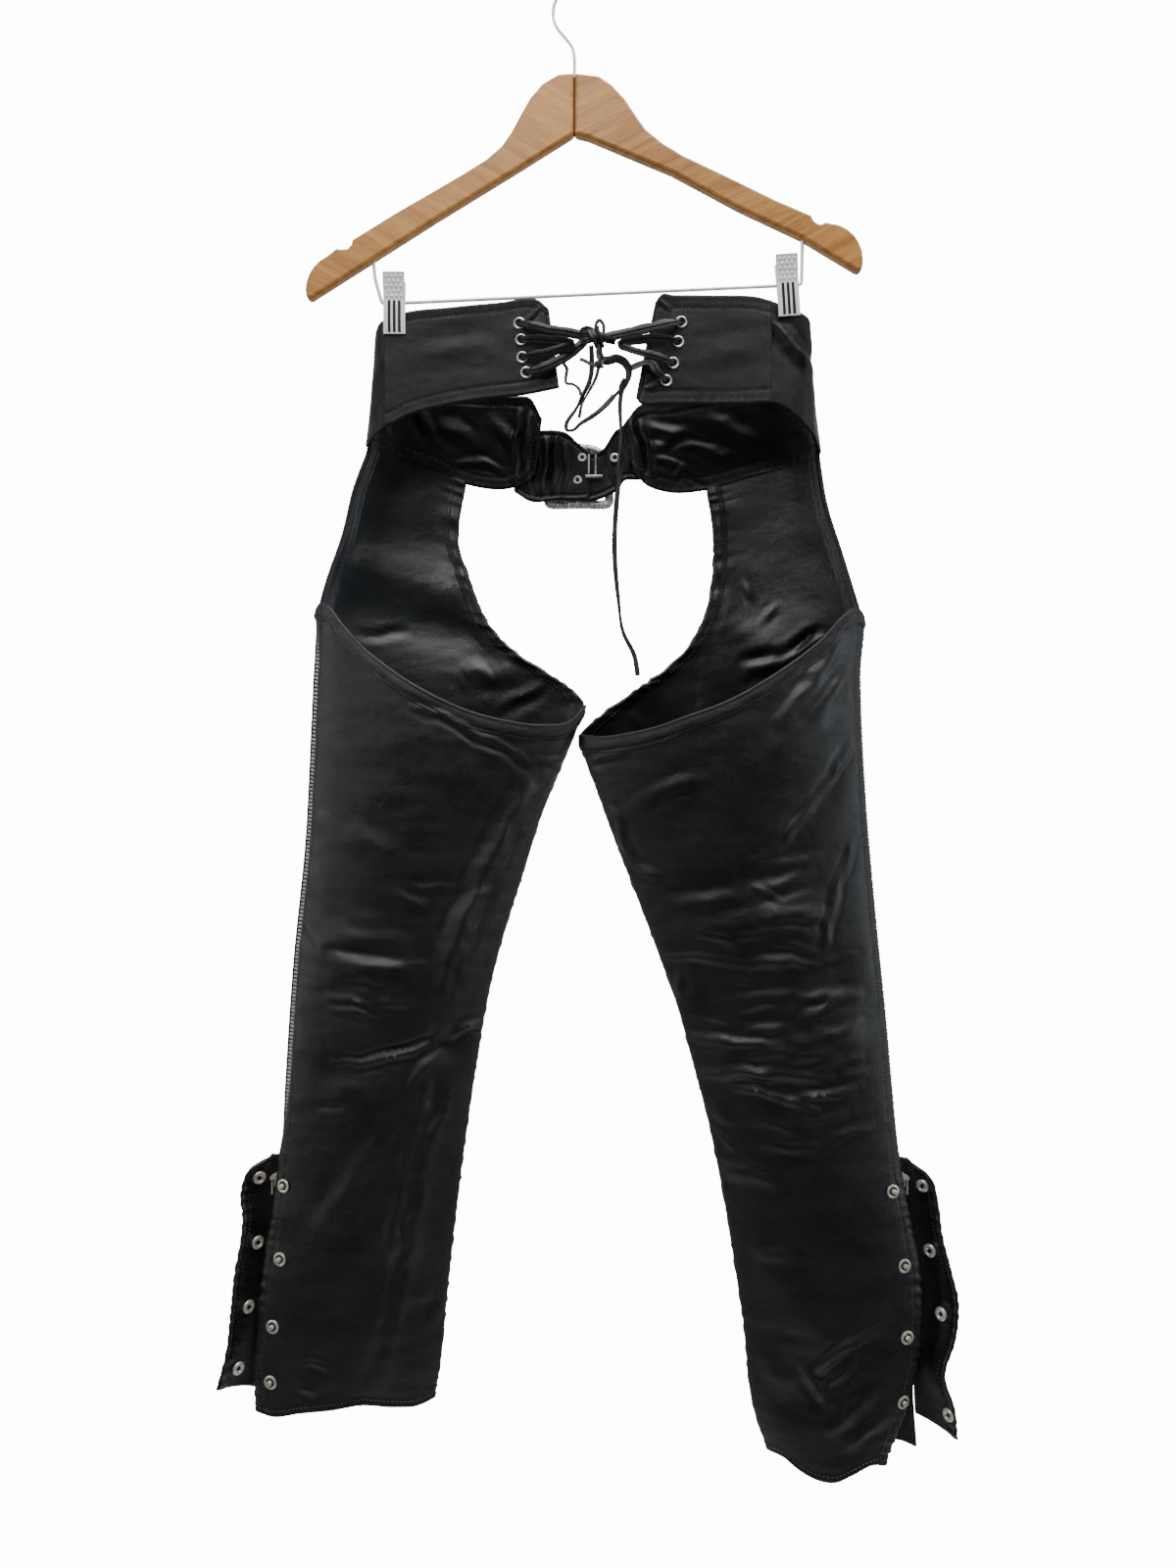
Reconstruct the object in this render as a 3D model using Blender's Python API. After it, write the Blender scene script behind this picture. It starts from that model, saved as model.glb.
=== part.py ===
"""Leather riding chaps, hung by the back yoke from a wooden hanger with two clips.

The garment is seen from the back: +X is to the right, +Y is away from the viewer, towards
the garment's front, and +Z is up. The origin is where the hook's loop bears on a rail.
Sizes are in millimetres until a mesh or a curve is made. "Drop" is the distance below
the origin, "across" the place along X and "depth" the place along Y.
"""
import math
from collections import namedtuple

import bmesh
import bpy
from mathutils import Matrix, Vector
from mathutils.bvhtree import BVHTree

for old in list(bpy.data.objects):
    bpy.data.objects.remove(old, do_unlink=True)

MM = 0.001
OUTWARD = {"left": -1.0, "right": 1.0}

# Leather
LEG_WALL = 1.4
YOKE_WALL = 2.0
STRAP_WALL = 2.4
SEAM_GAP = 0.8
TOUCH_GAP = 0.35

# Side zips
ZIP_WIDTH = 5.4
ZIP_THICKNESS = 2.0
ZIP_EDGE_HALF = 4.1
OPEN_EDGE_HALF = 6.4
ZIP_OPEN_FROM = 942.0
ZIP_OPEN_TO = 985.0
ZIP_FOOT_DROP = 954.0
SLIDER_HEIGHT = 11.0
SLIDER_WIDTH = 6.4
SLIDER_DEPTH = 4.6
TAB_LENGTH = 14.0
TAB_WIDTH = 4.0
TAB_THICKNESS = 1.1
TAB_BARREL_RADIUS = 1.5
TAB_PIN_RADIUS = 0.7
TAB_PIN_PLAY = 0.15
EAR_THICKNESS = 1.0
EAR_GAP = 0.3
EAR_HALF_HIGH = 1.4
PIN_STAND_OFF = 2.2
PIN_RISE = 2.0

# Hanger
ARM_THICKNESS = 11.0
HOOK_WIRE = 2.8
HOOK_LOOP_RADIUS = 19.0
HOOK_TURN = math.radians(25.0)
BAR_WIRE = 3.0
CLIP_WIDTH = 17.4

CLIP_METAL = 1.2

# Buckle
BUCKLE_HALF_WIDE = 30.0
BUCKLE_HALF_HIGH = 28.0
BUCKLE_RIM = 5.0
BUCKLE_DEPTH = 4.0
BUCKLE_MIDDLE = (3.5, -374.2)
BUCKLE_BAR_ACROSS = 12.0
BUCKLE_BAR_RADIUS = 1.6
TONGUE_DEPTH = 1.8
TONGUE_HALF_HIGH = 1.6
TONGUE_TIP_HALF_HIGH = 1.3
TONGUE_HEEL = 4.5

# Metal trim
EYELET_RADIUS = 4.8
EYELET_HOLE = 2.3
EYELET_BARREL = 0.7
SNAP_RADIUS = 5.5
LACE_DIAMETER = 3.4
THIN_DIAMETER = 2.2
LACE_BEND = 2.2
LACE_STEP = 6.0


def material(name, colour, roughness, metallic=0.0):
    """A plain Principled material."""
    made = bpy.data.materials.new(name)
    made.use_nodes = True
    shader = made.node_tree.nodes["Principled BSDF"]
    shader.inputs["Base Color"].default_value = (*colour, 1.0)
    shader.inputs["Roughness"].default_value = roughness
    shader.inputs["Metallic"].default_value = metallic
    made.diffuse_color = (*colour, 1.0)
    return made


BLACK_LEATHER = material("black_leather", (0.012, 0.011, 0.010), 0.42)
YOKE_LEATHER = material("yoke_leather", (0.020, 0.023, 0.025), 0.55)
LACE_LEATHER = material("lace_leather", (0.014, 0.013, 0.013), 0.50)
BEECH = material("beech_wood", (0.52, 0.30, 0.13), 0.38)
CHROME = material("chrome", (0.72, 0.72, 0.72), 0.12, 1.0)
NICKEL = material("antique_nickel", (0.46, 0.42, 0.36), 0.30, 1.0)
ZIP_METAL = material("zip_metal", (0.34, 0.32, 0.28), 0.40, 1.0)


def smooth_curve(keys, values):
    """A smooth function through the pairs, its slopes taken from the neighbouring pairs."""
    last = len(keys) - 1
    rises = [(values[i + 1] - values[i]) / (keys[i + 1] - keys[i]) for i in range(last)]
    slopes = [rises[0]]
    for i in range(1, last):
        before = keys[i] - keys[i - 1]
        after = keys[i + 1] - keys[i]
        slopes.append((rises[i - 1] * after + rises[i] * before) / (before + after))
    slopes.append(rises[-1])

    def value_at(key):
        i = 0
        while i < last - 1 and key > keys[i + 1]:
            i += 1
        span = keys[i + 1] - keys[i]
        t = min(max((key - keys[i]) / span, 0.0), 1.0)
        start = values[i] * (1 + 2 * t) * (1 - t) ** 2 + slopes[i] * span * t * (1 - t) ** 2
        end = values[i + 1] * t * t * (3 - 2 * t) + slopes[i + 1] * span * t * t * (t - 1)
        return start + end

    return value_at


def smooth_step(value, low, high):
    """0 below low, 1 above high, and a soft change between them."""
    t = min(max((value - low) / (high - low), 0.0), 1.0)
    return t * t * (3 - 2 * t)


def mix(a, b, t):
    return a + (b - a) * t


def edge_weighted(count):
    """Places from 0 to 1, closer together near both ends."""
    places = []
    for i in range(count + 1):
        even = i / count
        places.append(0.35 * even + 0.65 * (0.5 - 0.5 * math.cos(math.pi * even)))
    return places


def even(count):
    return [i / count for i in range(count + 1)]


def finish_object(name, mesh, look, smooth_angle=35.0):
    """Link a mesh as one named object with its material."""
    made = bpy.data.objects.new(name, mesh)
    bpy.context.scene.collection.objects.link(made)
    mesh.materials.append(look)
    mesh.shade_smooth()
    mesh.set_sharp_from_angle(angle=math.radians(smooth_angle))
    return made


def surface_normal(surface, u, v):
    """The unit normal of a point function, by small steps along both directions."""
    step = 0.004
    along = surface(min(u + step, 1.0), v) - surface(max(u - step, 0.0), v)
    down = surface(u, min(v + step, 1.0)) - surface(u, max(v - step, 0.0))
    return along.cross(down).normalized()


def wall_from_surface(name, surface, columns, rows, thickness, look):
    """A closed wall, half its thickness to each side of the surface."""
    work = bmesh.new()
    layers = []
    for side in (-0.5, 0.5):
        grid = []
        for v in rows:
            line = []
            for u in columns:
                place = surface(u, v) + surface_normal(surface, u, v) * side * thickness
                line.append(work.verts.new(place * MM))
            grid.append(line)
        layers.append(grid)
    for grid in layers:
        for upper, lower in zip(grid, grid[1:]):
            for i in range(len(columns) - 1):
                work.faces.new((upper[i], upper[i + 1], lower[i + 1], lower[i]))
    rims = []
    for grid in layers:
        left_side = [line[0] for line in grid]
        right_side = [line[-1] for line in grid]
        rims.append(grid[0] + right_side[1:] + grid[-1][-2::-1] + left_side[-2:0:-1])
    for i in range(len(rims[0])):
        j = (i + 1) % len(rims[0])
        work.faces.new((rims[0][i], rims[0][j], rims[1][j], rims[1][i]))
    bmesh.ops.recalc_face_normals(work, faces=work.faces)
    mesh = bpy.data.meshes.new(name)
    work.to_mesh(mesh)
    work.free()
    return finish_object(name, mesh, look)


def turned(name, profile, segments, place, look):
    """A ring or disc turned about its own Z from (radius, height) pairs in a closed loop.

    A radius of 0 is a point on the axis. The place is a matrix in metres.
    """
    work = bmesh.new()
    rings = []
    for radius, height in profile:
        if radius == 0.0:
            rings.append([work.verts.new((0.0, 0.0, height * MM))])
            continue
        ring = []
        for i in range(segments):
            angle = 2 * math.pi * i / segments
            ring.append(work.verts.new((radius * math.cos(angle) * MM,
                                        radius * math.sin(angle) * MM, height * MM)))
        rings.append(ring)
    closed = all(len(ring) > 1 for ring in rings)
    pairs = list(zip(rings, rings[1:]))
    if closed:
        pairs.append((rings[-1], rings[0]))
    for lower, upper in pairs:
        for i in range(segments):
            j = (i + 1) % segments
            if len(lower) == 1:
                work.faces.new((lower[0], upper[i], upper[j]))
            elif len(upper) == 1:
                work.faces.new((lower[i], lower[j], upper[0]))
            else:
                work.faces.new((lower[i], lower[j], upper[j], upper[i]))
    bmesh.ops.recalc_face_normals(work, faces=work.faces)
    mesh = bpy.data.meshes.new(name)
    work.to_mesh(mesh)
    work.free()
    made = finish_object(name, mesh, look)
    made.matrix_world = place
    return made


def prism(name, outline, thickness, look, axis="Y", bevel=0.0, centre=(0.0, 0.0, 0.0)):
    """An outline extruded to both sides of its plane.

    The outline's pairs are (x, z) for axis Y and (y, z) for axis X.
    """
    work = bmesh.new()
    verts = []
    for first, second in outline:
        if axis == "Y":
            place = Vector((first, -thickness / 2, second))
        else:
            place = Vector((-thickness / 2, first, second))
        verts.append(work.verts.new(place * MM))
    face = work.faces.new(verts)
    push = Vector((0, thickness, 0)) if axis == "Y" else Vector((thickness, 0, 0))
    grown = bmesh.ops.extrude_face_region(work, geom=[face])
    moved = [item for item in grown["geom"] if isinstance(item, bmesh.types.BMVert)]
    bmesh.ops.translate(work, verts=moved, vec=push * MM)
    bmesh.ops.recalc_face_normals(work, faces=work.faces)
    mesh = bpy.data.meshes.new(name)
    work.to_mesh(mesh)
    work.free()
    made = finish_object(name, mesh, look)
    made.location = Vector(centre) * MM
    if bevel > 0.0:
        soften(made, bevel, 2)
    return made


def soften(thing, width, segments=1, angle=35.0):
    """Round the sharp edges of an object."""
    rounding = thing.modifiers.new("rounding", "BEVEL")
    rounding.width = width * MM
    rounding.segments = segments
    rounding.limit_method = "ANGLE"
    rounding.angle_limit = math.radians(angle)


def cut_with(thing, cutter):
    """Subtract a hidden cutter from an object."""
    cut = thing.modifiers.new("cut", "BOOLEAN")
    cut.operation = "DIFFERENCE"
    cut.solver = "EXACT"
    cut.object = cutter
    cutter.hide_render = True
    cutter.display_type = "WIRE"


def join_with(thing, other):
    """Unite a hidden helper shape with an object."""
    union = thing.modifiers.new("join", "BOOLEAN")
    union.operation = "UNION"
    union.solver = "EXACT"
    union.object = other
    other.hide_render = True
    other.display_type = "WIRE"


def rod_cutter(name, start, end, radius, segments=10):
    """A straight rod between two points, for holes and sleeves."""
    start = Vector(start)
    end = Vector(end)
    reach = end - start
    turn = reach.to_track_quat("Z", "Y").to_matrix().to_4x4()
    place = Matrix.Translation(start * MM) @ turn
    profile = [(0.0, 0.0), (radius, 0.0), (radius, reach.length), (0.0, reach.length)]
    return turned(name, profile, segments, place, CHROME)


def smooth_route(points, spacing):
    """Points at an even spacing along a smooth curve through the route's own points."""
    lengths = [0.0]
    for before, after in zip(points, points[1:]):
        lengths.append(lengths[-1] + (Vector(after) - Vector(before)).length)
    axes = [smooth_curve(lengths, [point[i] for point in points]) for i in range(3)]
    count = max(2, round(lengths[-1] / spacing))
    route = []
    for i in range(count + 1):
        along = lengths[-1] * i / count
        route.append(Vector([axis(along) for axis in axes]))
    return route


def rounded_route(corners, radius, steps):
    """A route of straight runs whose corners are quarter-round bends."""
    route = [Vector(corners[0])]
    for before, corner, after in zip(corners, corners[1:], corners[2:]):
        corner = Vector(corner)
        back = Vector(before) - corner
        ahead = Vector(after) - corner
        enter = corner + back.normalized() * min(radius, back.length * 0.48)
        leave = corner + ahead.normalized() * min(radius, ahead.length * 0.48)
        for i in range(steps + 1):
            t = i / steps
            route.append(enter * (1 - t) ** 2 + corner * 2 * t * (1 - t) + leave * t * t)
    route.append(Vector(corners[-1]))
    return route


def wire(name, route, diameter, look, resolution=2):
    """A round tube along a route, with filled caps."""
    curve = bpy.data.curves.new(name, "CURVE")
    curve.dimensions = "3D"
    curve.bevel_depth = diameter / 2 * MM
    curve.bevel_resolution = resolution
    curve.use_fill_caps = True
    spline = curve.splines.new("POLY")
    spline.points.add(len(route) - 1)
    for point, place in zip(spline.points, route):
        point.co = (*(place * MM), 1.0)
    curve.materials.append(look)
    made = bpy.data.objects.new(name, curve)
    bpy.context.scene.collection.objects.link(made)
    return made


def surface_tree(thing):
    """A search tree over an object's own faces, in millimetres."""
    corners = [vert.co / MM for vert in thing.data.vertices]
    faces = [tuple(face.vertices) for face in thing.data.polygons]
    return BVHTree.FromPolygons(corners, faces)


def seat_on(tree, across, drop, radius):
    """A place on the near face of a wall for a disc, clear of it all round.

    The matrix's Z points out of the wall, towards the viewer.
    """
    start = Vector((across, -200.0, -drop))
    centre, out = tree.ray_cast(start, Vector((0, 1, 0)))[:2]
    reach = 15.0
    for attempt in range(2):
        if out.y > 0:
            out = -out
        turn = out.to_track_quat("Z", "Y").to_matrix()
        lift = 0.0
        total = out.copy()
        for i in range(8):
            angle = 2 * math.pi * i / 8
            offset = turn @ Vector((math.cos(angle), math.sin(angle), 0.0)) * radius
            found, normal = tree.ray_cast(centre + offset + out * reach, -out, 2 * reach)[:2]
            if found is not None:
                lift = max(lift, (found - centre).dot(out))
                total += normal * math.copysign(1.0, normal.dot(out))
        if attempt == 0:
            out = total.normalized()
    centre = centre + out * (lift + TOUCH_GAP)
    return Matrix.Translation(centre * MM) @ turn.to_4x4()


# A station of a band: its upper and its lower edge at one place along the band.
Station = namedtuple("Station", "top_across top_depth top_drop low_across low_depth low_drop")


class Band:
    """A leather band between two smooth edges that run through the same stations."""

    def __init__(self, stations):
        self.marks = [0.0]
        for before, after in zip(stations, stations[1:]):
            top_step = math.dist(before[:3], after[:3])
            low_step = math.dist(before[3:], after[3:])
            self.marks.append(self.marks[-1] + (top_step + low_step) / 2)
        total = self.marks[-1]
        self.marks = [mark / total for mark in self.marks]
        self.edges = [smooth_curve(self.marks, [row[i] for row in stations])
                      for i in range(6)]

    def upper(self, s):
        return Vector((self.edges[0](s), self.edges[1](s), -self.edges[2](s)))

    def lower(self, s):
        return Vector((self.edges[3](s), self.edges[4](s), -self.edges[5](s)))

    def point(self, s, t):
        return self.upper(s).lerp(self.lower(s), t)


BACK_YOKE = {
    "left": [
        Station(-150.2, 0, 268.4, -150.4, 0, 354),
        Station(-135, 0, 263, -137, 0, 346.5),
        Station(-99, -3, 260, -111, -1, 338.5),
        Station(-60, -5, 257, -73, -3, 332.5),
        Station(-29, -6, 255, -34, -5, 328.5),
        Station(-20, -6, 262, -12, -5, 324),
    ],
    "right": [
        Station(157.4, 0, 253.4, 157.6, 0, 334),
        Station(147, 0, 250.4, 139, 0, 335),
        Station(109, -3, 250.4, 98, -2, 336),
        Station(80, -5, 251, 71, -4, 336.5),
        Station(69, -6, 251.5, 54, -5, 336.5),
        Station(65, -6, 257, 50, -5, 332),
    ],
}

FRONT_YOKE = {
    "left": [
        Station(-151, 0, 268.6, -151, 0, 354),
        Station(-154, 0.4, 270.5, -155, 2, 356),
        Station(-158, 6, 275, -162, 9, 359),
        Station(-160, 16, 283, -168, 20, 361),
        Station(-156, 31, 293, -170.5, 36, 360),
        Station(-142, 45, 302, -153, 48, 363),
        Station(-112, 54, 308, -121, 56, 372),
        Station(-84, 58, 310, -92, 60, 384),
        Station(-52, 61, 310, -57, 63, 387),
        Station(-38, 62, 311, -43, 64, 383),
        Station(-28, 63, 328, -34, 64, 375),
    ],
    "right": [
        Station(158.2, 0, 253.6, 158.4, 0, 334),
        Station(169, 0, 258, 168, 0, 337),
        Station(181, 0, 262.5, 181, 1, 347),
        Station(188.5, 4, 267, 191, 7, 355),
        Station(191, 15, 275, 198, 18, 362),
        Station(189, 29, 285, 203, 36, 366),
        Station(175, 44, 297, 185, 48, 372),
        Station(143, 54, 306, 148, 56, 380),
        Station(106, 58, 311, 112, 60, 389),
        Station(76, 61, 315, 80, 63, 390),
        Station(56, 62, 317, 62, 64, 384),
        Station(41, 64, 334, 51, 65, 373),
    ],
}

# The stations of the front yokes between which the leg's front panel is sewn on.
LEG_SEAM_STATIONS = {"left": (4, 7), "right": (5, 8)}

# The four eyelets beside the back opening, from the top down.
Spot = namedtuple("Spot", "across drop")
YOKE_EYELETS = {
    "left": [Spot(-43, 273.5), Spot(-41.5, 286.5), Spot(-40.5, 300.5), Spot(-37.5, 312.5)],
    "right": [Spot(85.5, 272), Spot(83, 287.5), Spot(79, 304.5), Spot(73.5, 318.5)],
}

# A row of a leg's edge line.
Edge = namedtuple("Edge", "drop across depth")
OUTSEAM = {
    "left": [
        Edge(360, -169, 36), Edge(391, -180.5, 32), Edge(436, -191.5, 27), Edge(467, -201.5, 22),
        Edge(489, -207, 18), Edge(540, -211, 15), Edge(591, -213.5, 15),
        Edge(687, -218.5, 15), Edge(782, -228, 15), Edge(878, -234.5, 15), Edge(940, -238, 15),
    ],
    "right": [
        Edge(366, 201.5, 36), Edge(409, 208.5, 31), Edge(446, 219.5, 26), Edge(479, 228.5, 20),
        Edge(499, 233.5, 16), Edge(552, 232.5, 14), Edge(647, 236.5, 14), Edge(742, 244.5, 14),
        Edge(838, 254, 14), Edge(885, 258, 14), Edge(940, 262.5, 14),
    ],
}

# Below the slider the outseam is open, and each panel has its own outer edge.
OPEN_BACK_EDGE = {
    "left": [Edge(997, -245, 15), Edge(1032, -251, 14), Edge(1072, -255, 13),
             Edge(1107, -257, 12), Edge(1142, -255, 12)],
    "right": [Edge(1001, 273, 14), Edge(1028, 278, 13), Edge(1072, 279, 12),
              Edge(1104, 277, 12), Edge(1134, 269, 12), Edge(1186, 250, 12)],
}
OPEN_FRONT_EDGE = {
    "left": [Edge(997, -242.5, 15), Edge(1032, -246, 14), Edge(1072, -249, 13),
             Edge(1107, -251, 12), Edge(1140, -251, 12)],
    "right": [Edge(1001, 271, 14), Edge(1040, 275, 13), Edge(1072, 277, 12),
              Edge(1134, 276, 12), Edge(1178, 279, 12)],
}

# The crotch edge of the front panel, then the inseam.
INNER_EDGE = {
    "left": [
        Edge(384, -92, 60), Edge(415, -97, 56), Edge(441, -97, 53), Edge(461, -89.5, 49),
        Edge(483, -82, 45), Edge(507, -70, 40), Edge(525, -54, 35), Edge(546, -25, 27),
        Edge(559, -5, 22), Edge(575, 8.5, 18), Edge(592, 3, 16), Edge(623, -9.5, 16),
        Edge(663, -26, 16), Edge(707, -40, 16), Edge(794, -66, 15), Edge(862, -78.5, 15),
        Edge(949, -91, 15), Edge(1060, -103.5, 13), Edge(1107, -108, 12),
        Edge(1134, -112.5, 12),
    ],
    "right": [
        Edge(389, 112, 60), Edge(415, 116, 56), Edge(443, 117, 52), Edge(470, 115, 48),
        Edge(493, 110.5, 44), Edge(517, 99.5, 39), Edge(538, 83, 34), Edge(554, 61.5, 29),
        Edge(569, 40.5, 24), Edge(584, 20.5, 20), Edge(599, 5.5, 17), Edge(619, 9.5, 16),
        Edge(639, 17, 15), Edge(687, 34.5, 15), Edge(734, 53, 15), Edge(782, 71, 15),
        Edge(818, 84, 15), Edge(862, 96, 15), Edge(909, 108.5, 15), Edge(941, 115.5, 15),
        Edge(1028, 130.5, 14), Edge(1072, 137, 13), Edge(1149, 147, 12),
        Edge(1176, 156.5, 12),
    ],
}

# How far each panel bows out of the plane between its two edges.
Bow = namedtuple("Bow", "drop front back")
LEG_BOW = [
    Bow(360, 7, 30), Bow(440, 10, 30), Bow(520, 15, 31), Bow(590, 19, 30), Bow(660, 21, 27),
    Bow(800, 19, 23), Bow(950, 16, 18), Bow(1100, 13, 14), Bow(1190, 12, 12),
]

# How far a panel's end edge dips below the line between its two corners.
Dip = namedtuple("Dip", "across_share amount")
MOUTH_DIP = {
    "left": [Dip(0, 0), Dip(0.05, -1), Dip(0.11, 10), Dip(0.18, 21), Dip(0.30, 32),
             Dip(0.44, 39), Dip(0.58, 41), Dip(0.72, 37), Dip(0.85, 29), Dip(0.95, 16),
             Dip(1, 0)],
    "right": [Dip(0, 0), Dip(0.04, -5), Dip(0.09, -2), Dip(0.15, 7), Dip(0.24, 15),
              Dip(0.37, 22), Dip(0.50, 25), Dip(0.63, 23), Dip(0.76, 20), Dip(0.85, 15),
              Dip(0.93, 9), Dip(1, 0)],
}
HEM_DIP = {
    "left": [Dip(0, 0), Dip(0.11, 3), Dip(0.25, 0), Dip(0.45, -2), Dip(0.60, -4),
             Dip(0.79, 1), Dip(0.91, 3), Dip(1, 0)],
    "right": [Dip(0, 0), Dip(0.12, -2), Dip(0.30, 6), Dip(0.45, 13), Dip(0.60, 13),
              Dip(0.75, 8), Dip(0.88, 1), Dip(1, 0)],
}
MOUTH_DROP = {"left": (492, 575), "right": (499, 599)}
HEM_DROP = {"left": (1142, 1134), "right": (1186, 1176)}
FRONT_HEM_DROP = {"left": (1140, 1134), "right": (1178, 1176)}

# A large fold: a soft ridge (height above 0) or trough along a straight line.
Fold = namedtuple("Fold", "start_across start_drop end_across end_drop width height")
BACK_FOLDS = {
    "left": [
        Fold(-24, 632, -64, 715, 12, 3.5),
        Fold(-64, 715, -102, 812, 12, 4.0),
        Fold(-103, 838, -86, 846, 13, -4.0),
        Fold(-190, 862, -114, 841, 13, -2.5),
        Fold(-121, 912, -136, 1000, 16, 3.0),
        Fold(-136, 1000, -159, 1108, 16, 3.0),
        Fold(-195, 765, -130, 790, 16, 3.0),
    ],
    "right": [
        Fold(216, 560, 165, 590, 14, 2.5),
        Fold(216, 622, 152, 700, 14, -2.5),
        Fold(90, 745, 180, 735, 16, 3.0),
        Fold(110, 800, 205, 780, 16, -3.0),
        Fold(120, 850, 215, 835, 16, 3.0),
        Fold(150, 1010, 215, 1085, 18, 2.5),
        Fold(170, 1130, 245, 1075, 14, -2.5),
    ],
}
FRONT_FOLDS = {
    "left": [
        Fold(-190, 455, -105, 478, 16, -3.0),
        Fold(-195, 500, -80, 520, 18, 3.0),
        Fold(-200, 760, -110, 790, 18, 3.5),
        Fold(-195, 860, -110, 840, 16, -3.0),
        Fold(-150, 930, -180, 1080, 18, 3.0),
    ],
    "right": [
        Fold(120, 490, 165, 530, 14, -3.0),
        Fold(135, 575, 225, 520, 18, 3.0),
        Fold(90, 770, 205, 750, 18, 3.5),
        Fold(115, 850, 220, 830, 16, -3.0),
        Fold(170, 950, 200, 1100, 18, 3.0),
    ],
}


def fold_height(folds, across, drop):
    """The summed height of the folds at one place of a panel."""
    total = 0.0
    for fold in folds:
        run = Vector((fold.end_across - fold.start_across, fold.end_drop - fold.start_drop))
        place = Vector((across - fold.start_across, drop - fold.start_drop))
        share = place.dot(run) / run.length_squared
        nearest = run * min(max(share, 0.0), 1.0)
        distance = (place - nearest).length
        fade = math.exp(-(distance / fold.width) ** 2)
        total += fold.height * fade
    return total


class EdgeLine:
    """A smooth edge line of a leg, read by its drop or by its length."""

    def __init__(self, rows):
        drops = [row.drop for row in rows]
        self.across = smooth_curve(drops, [row.across for row in rows])
        self.depth = smooth_curve(drops, [row.depth for row in rows])

    def point(self, drop):
        return Vector((self.across(drop), self.depth(drop), -drop))

    def pace(self, start, end):
        """A function from a share of the length between two drops to a drop."""
        count = 160
        drops = [mix(start, end, i / count) for i in range(count + 1)]
        lengths = [0.0]
        for before, after in zip(drops, drops[1:]):
            step = self.point(after) - self.point(before)
            lengths.append(lengths[-1] + math.hypot(step.x, step.z))

        def drop_at(share):
            target = share * lengths[-1]
            i = 0
            while i < count - 1 and lengths[i + 1] < target:
                i += 1
            span = lengths[i + 1] - lengths[i]
            return mix(drops[i], drops[i + 1], (target - lengths[i]) / span)

        return drop_at


class LegPanel:
    """One panel of a leg: a wall between an outer and an inner edge line, bowed in depth."""

    def __init__(self, outer, inner, top_drops, hem_drops, bow, bow_sign, folds,
                 top_dip, hem_dip, seam=None):
        self.outer = outer
        self.inner = inner
        self.outer_drop = outer.pace(top_drops[0], hem_drops[0])
        self.inner_drop = inner.pace(top_drops[1], hem_drops[1])
        self.bow = bow
        self.bow_sign = bow_sign
        self.folds = folds
        self.top_dip = top_dip
        self.hem_dip = hem_dip
        self.seam = seam

    def edge_half(self, drop):
        """Half the space in depth between the two panels along the outseam."""
        opening = smooth_step(drop, ZIP_OPEN_FROM, ZIP_OPEN_TO)
        return mix(ZIP_EDGE_HALF, OPEN_EDGE_HALF, opening)

    def plain_point(self, u, v):
        outer = self.outer.point(self.outer_drop(v))
        inner = self.inner.point(self.inner_drop(v))
        place = outer.lerp(inner, u)
        drop = -place.z
        inseam_half = (LEG_WALL + TOUCH_GAP) / 2
        edge_space = mix(self.edge_half(-outer.z), inseam_half, u)
        arch = (4 * u * (1 - u)) ** 0.75
        window = min(1.0, 6 * u, 6 * (1 - u), 0.3 + 8 * v, 0.3 + 8 * (1 - v))
        folded = fold_height(self.folds, place.x, drop) * window
        place.y += self.bow_sign * (edge_space + self.bow(drop) * arch + folded)
        place.z -= self.top_dip(u) * (1 - v) ** 2 + self.hem_dip(u) * v ** 2
        return place

    def point(self, u, v):
        place = self.plain_point(u, v)
        if self.seam is not None and v < 0.25:
            correction = self.seam(u) - self.plain_point(u, 0.0)
            place += correction * (1 - v / 0.25) ** 2
        return place


def dip_curve(rows):
    return smooth_curve([row.across_share for row in rows], [row.amount for row in rows])


def no_dip(share):
    return 0.0


front_bow = smooth_curve([row.drop for row in LEG_BOW], [row.front for row in LEG_BOW])
back_bow = smooth_curve([row.drop for row in LEG_BOW], [row.back for row in LEG_BOW])

back_yoke_band = {side: Band(BACK_YOKE[side]) for side in OUTWARD}
front_yoke_band = {side: Band(FRONT_YOKE[side]) for side in OUTWARD}
inner_line = {side: EdgeLine(INNER_EDGE[side]) for side in OUTWARD}
back_outer_line = {side: EdgeLine(OUTSEAM[side] + OPEN_BACK_EDGE[side]) for side in OUTWARD}
front_outer_line = {side: EdgeLine(OUTSEAM[side] + OPEN_FRONT_EDGE[side]) for side in OUTWARD}


def leg_seam(side):
    """The line under a front yoke along which the leg's front panel hangs."""
    band = front_yoke_band[side]
    first, last = LEG_SEAM_STATIONS[side]
    start = band.marks[first]
    end = band.marks[last]

    def seam_point(u):
        return band.lower(mix(start, end, u)) - Vector((0, 0, SEAM_GAP))

    return seam_point


back_panel = {}
front_panel = {}
for side in OUTWARD:
    outer_top = OUTSEAM[side][0].drop
    inner_top = INNER_EDGE[side][0].drop
    back_panel[side] = LegPanel(
        back_outer_line[side], inner_line[side], MOUTH_DROP[side], HEM_DROP[side],
        back_bow, -1.0, BACK_FOLDS[side], dip_curve(MOUTH_DIP[side]),
        dip_curve(HEM_DIP[side]))
    front_panel[side] = LegPanel(
        front_outer_line[side], inner_line[side], (outer_top, inner_top),
        FRONT_HEM_DROP[side], front_bow, 1.0, FRONT_FOLDS[side], no_dip,
        dip_curve(HEM_DIP[side]), seam=leg_seam(side))


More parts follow.
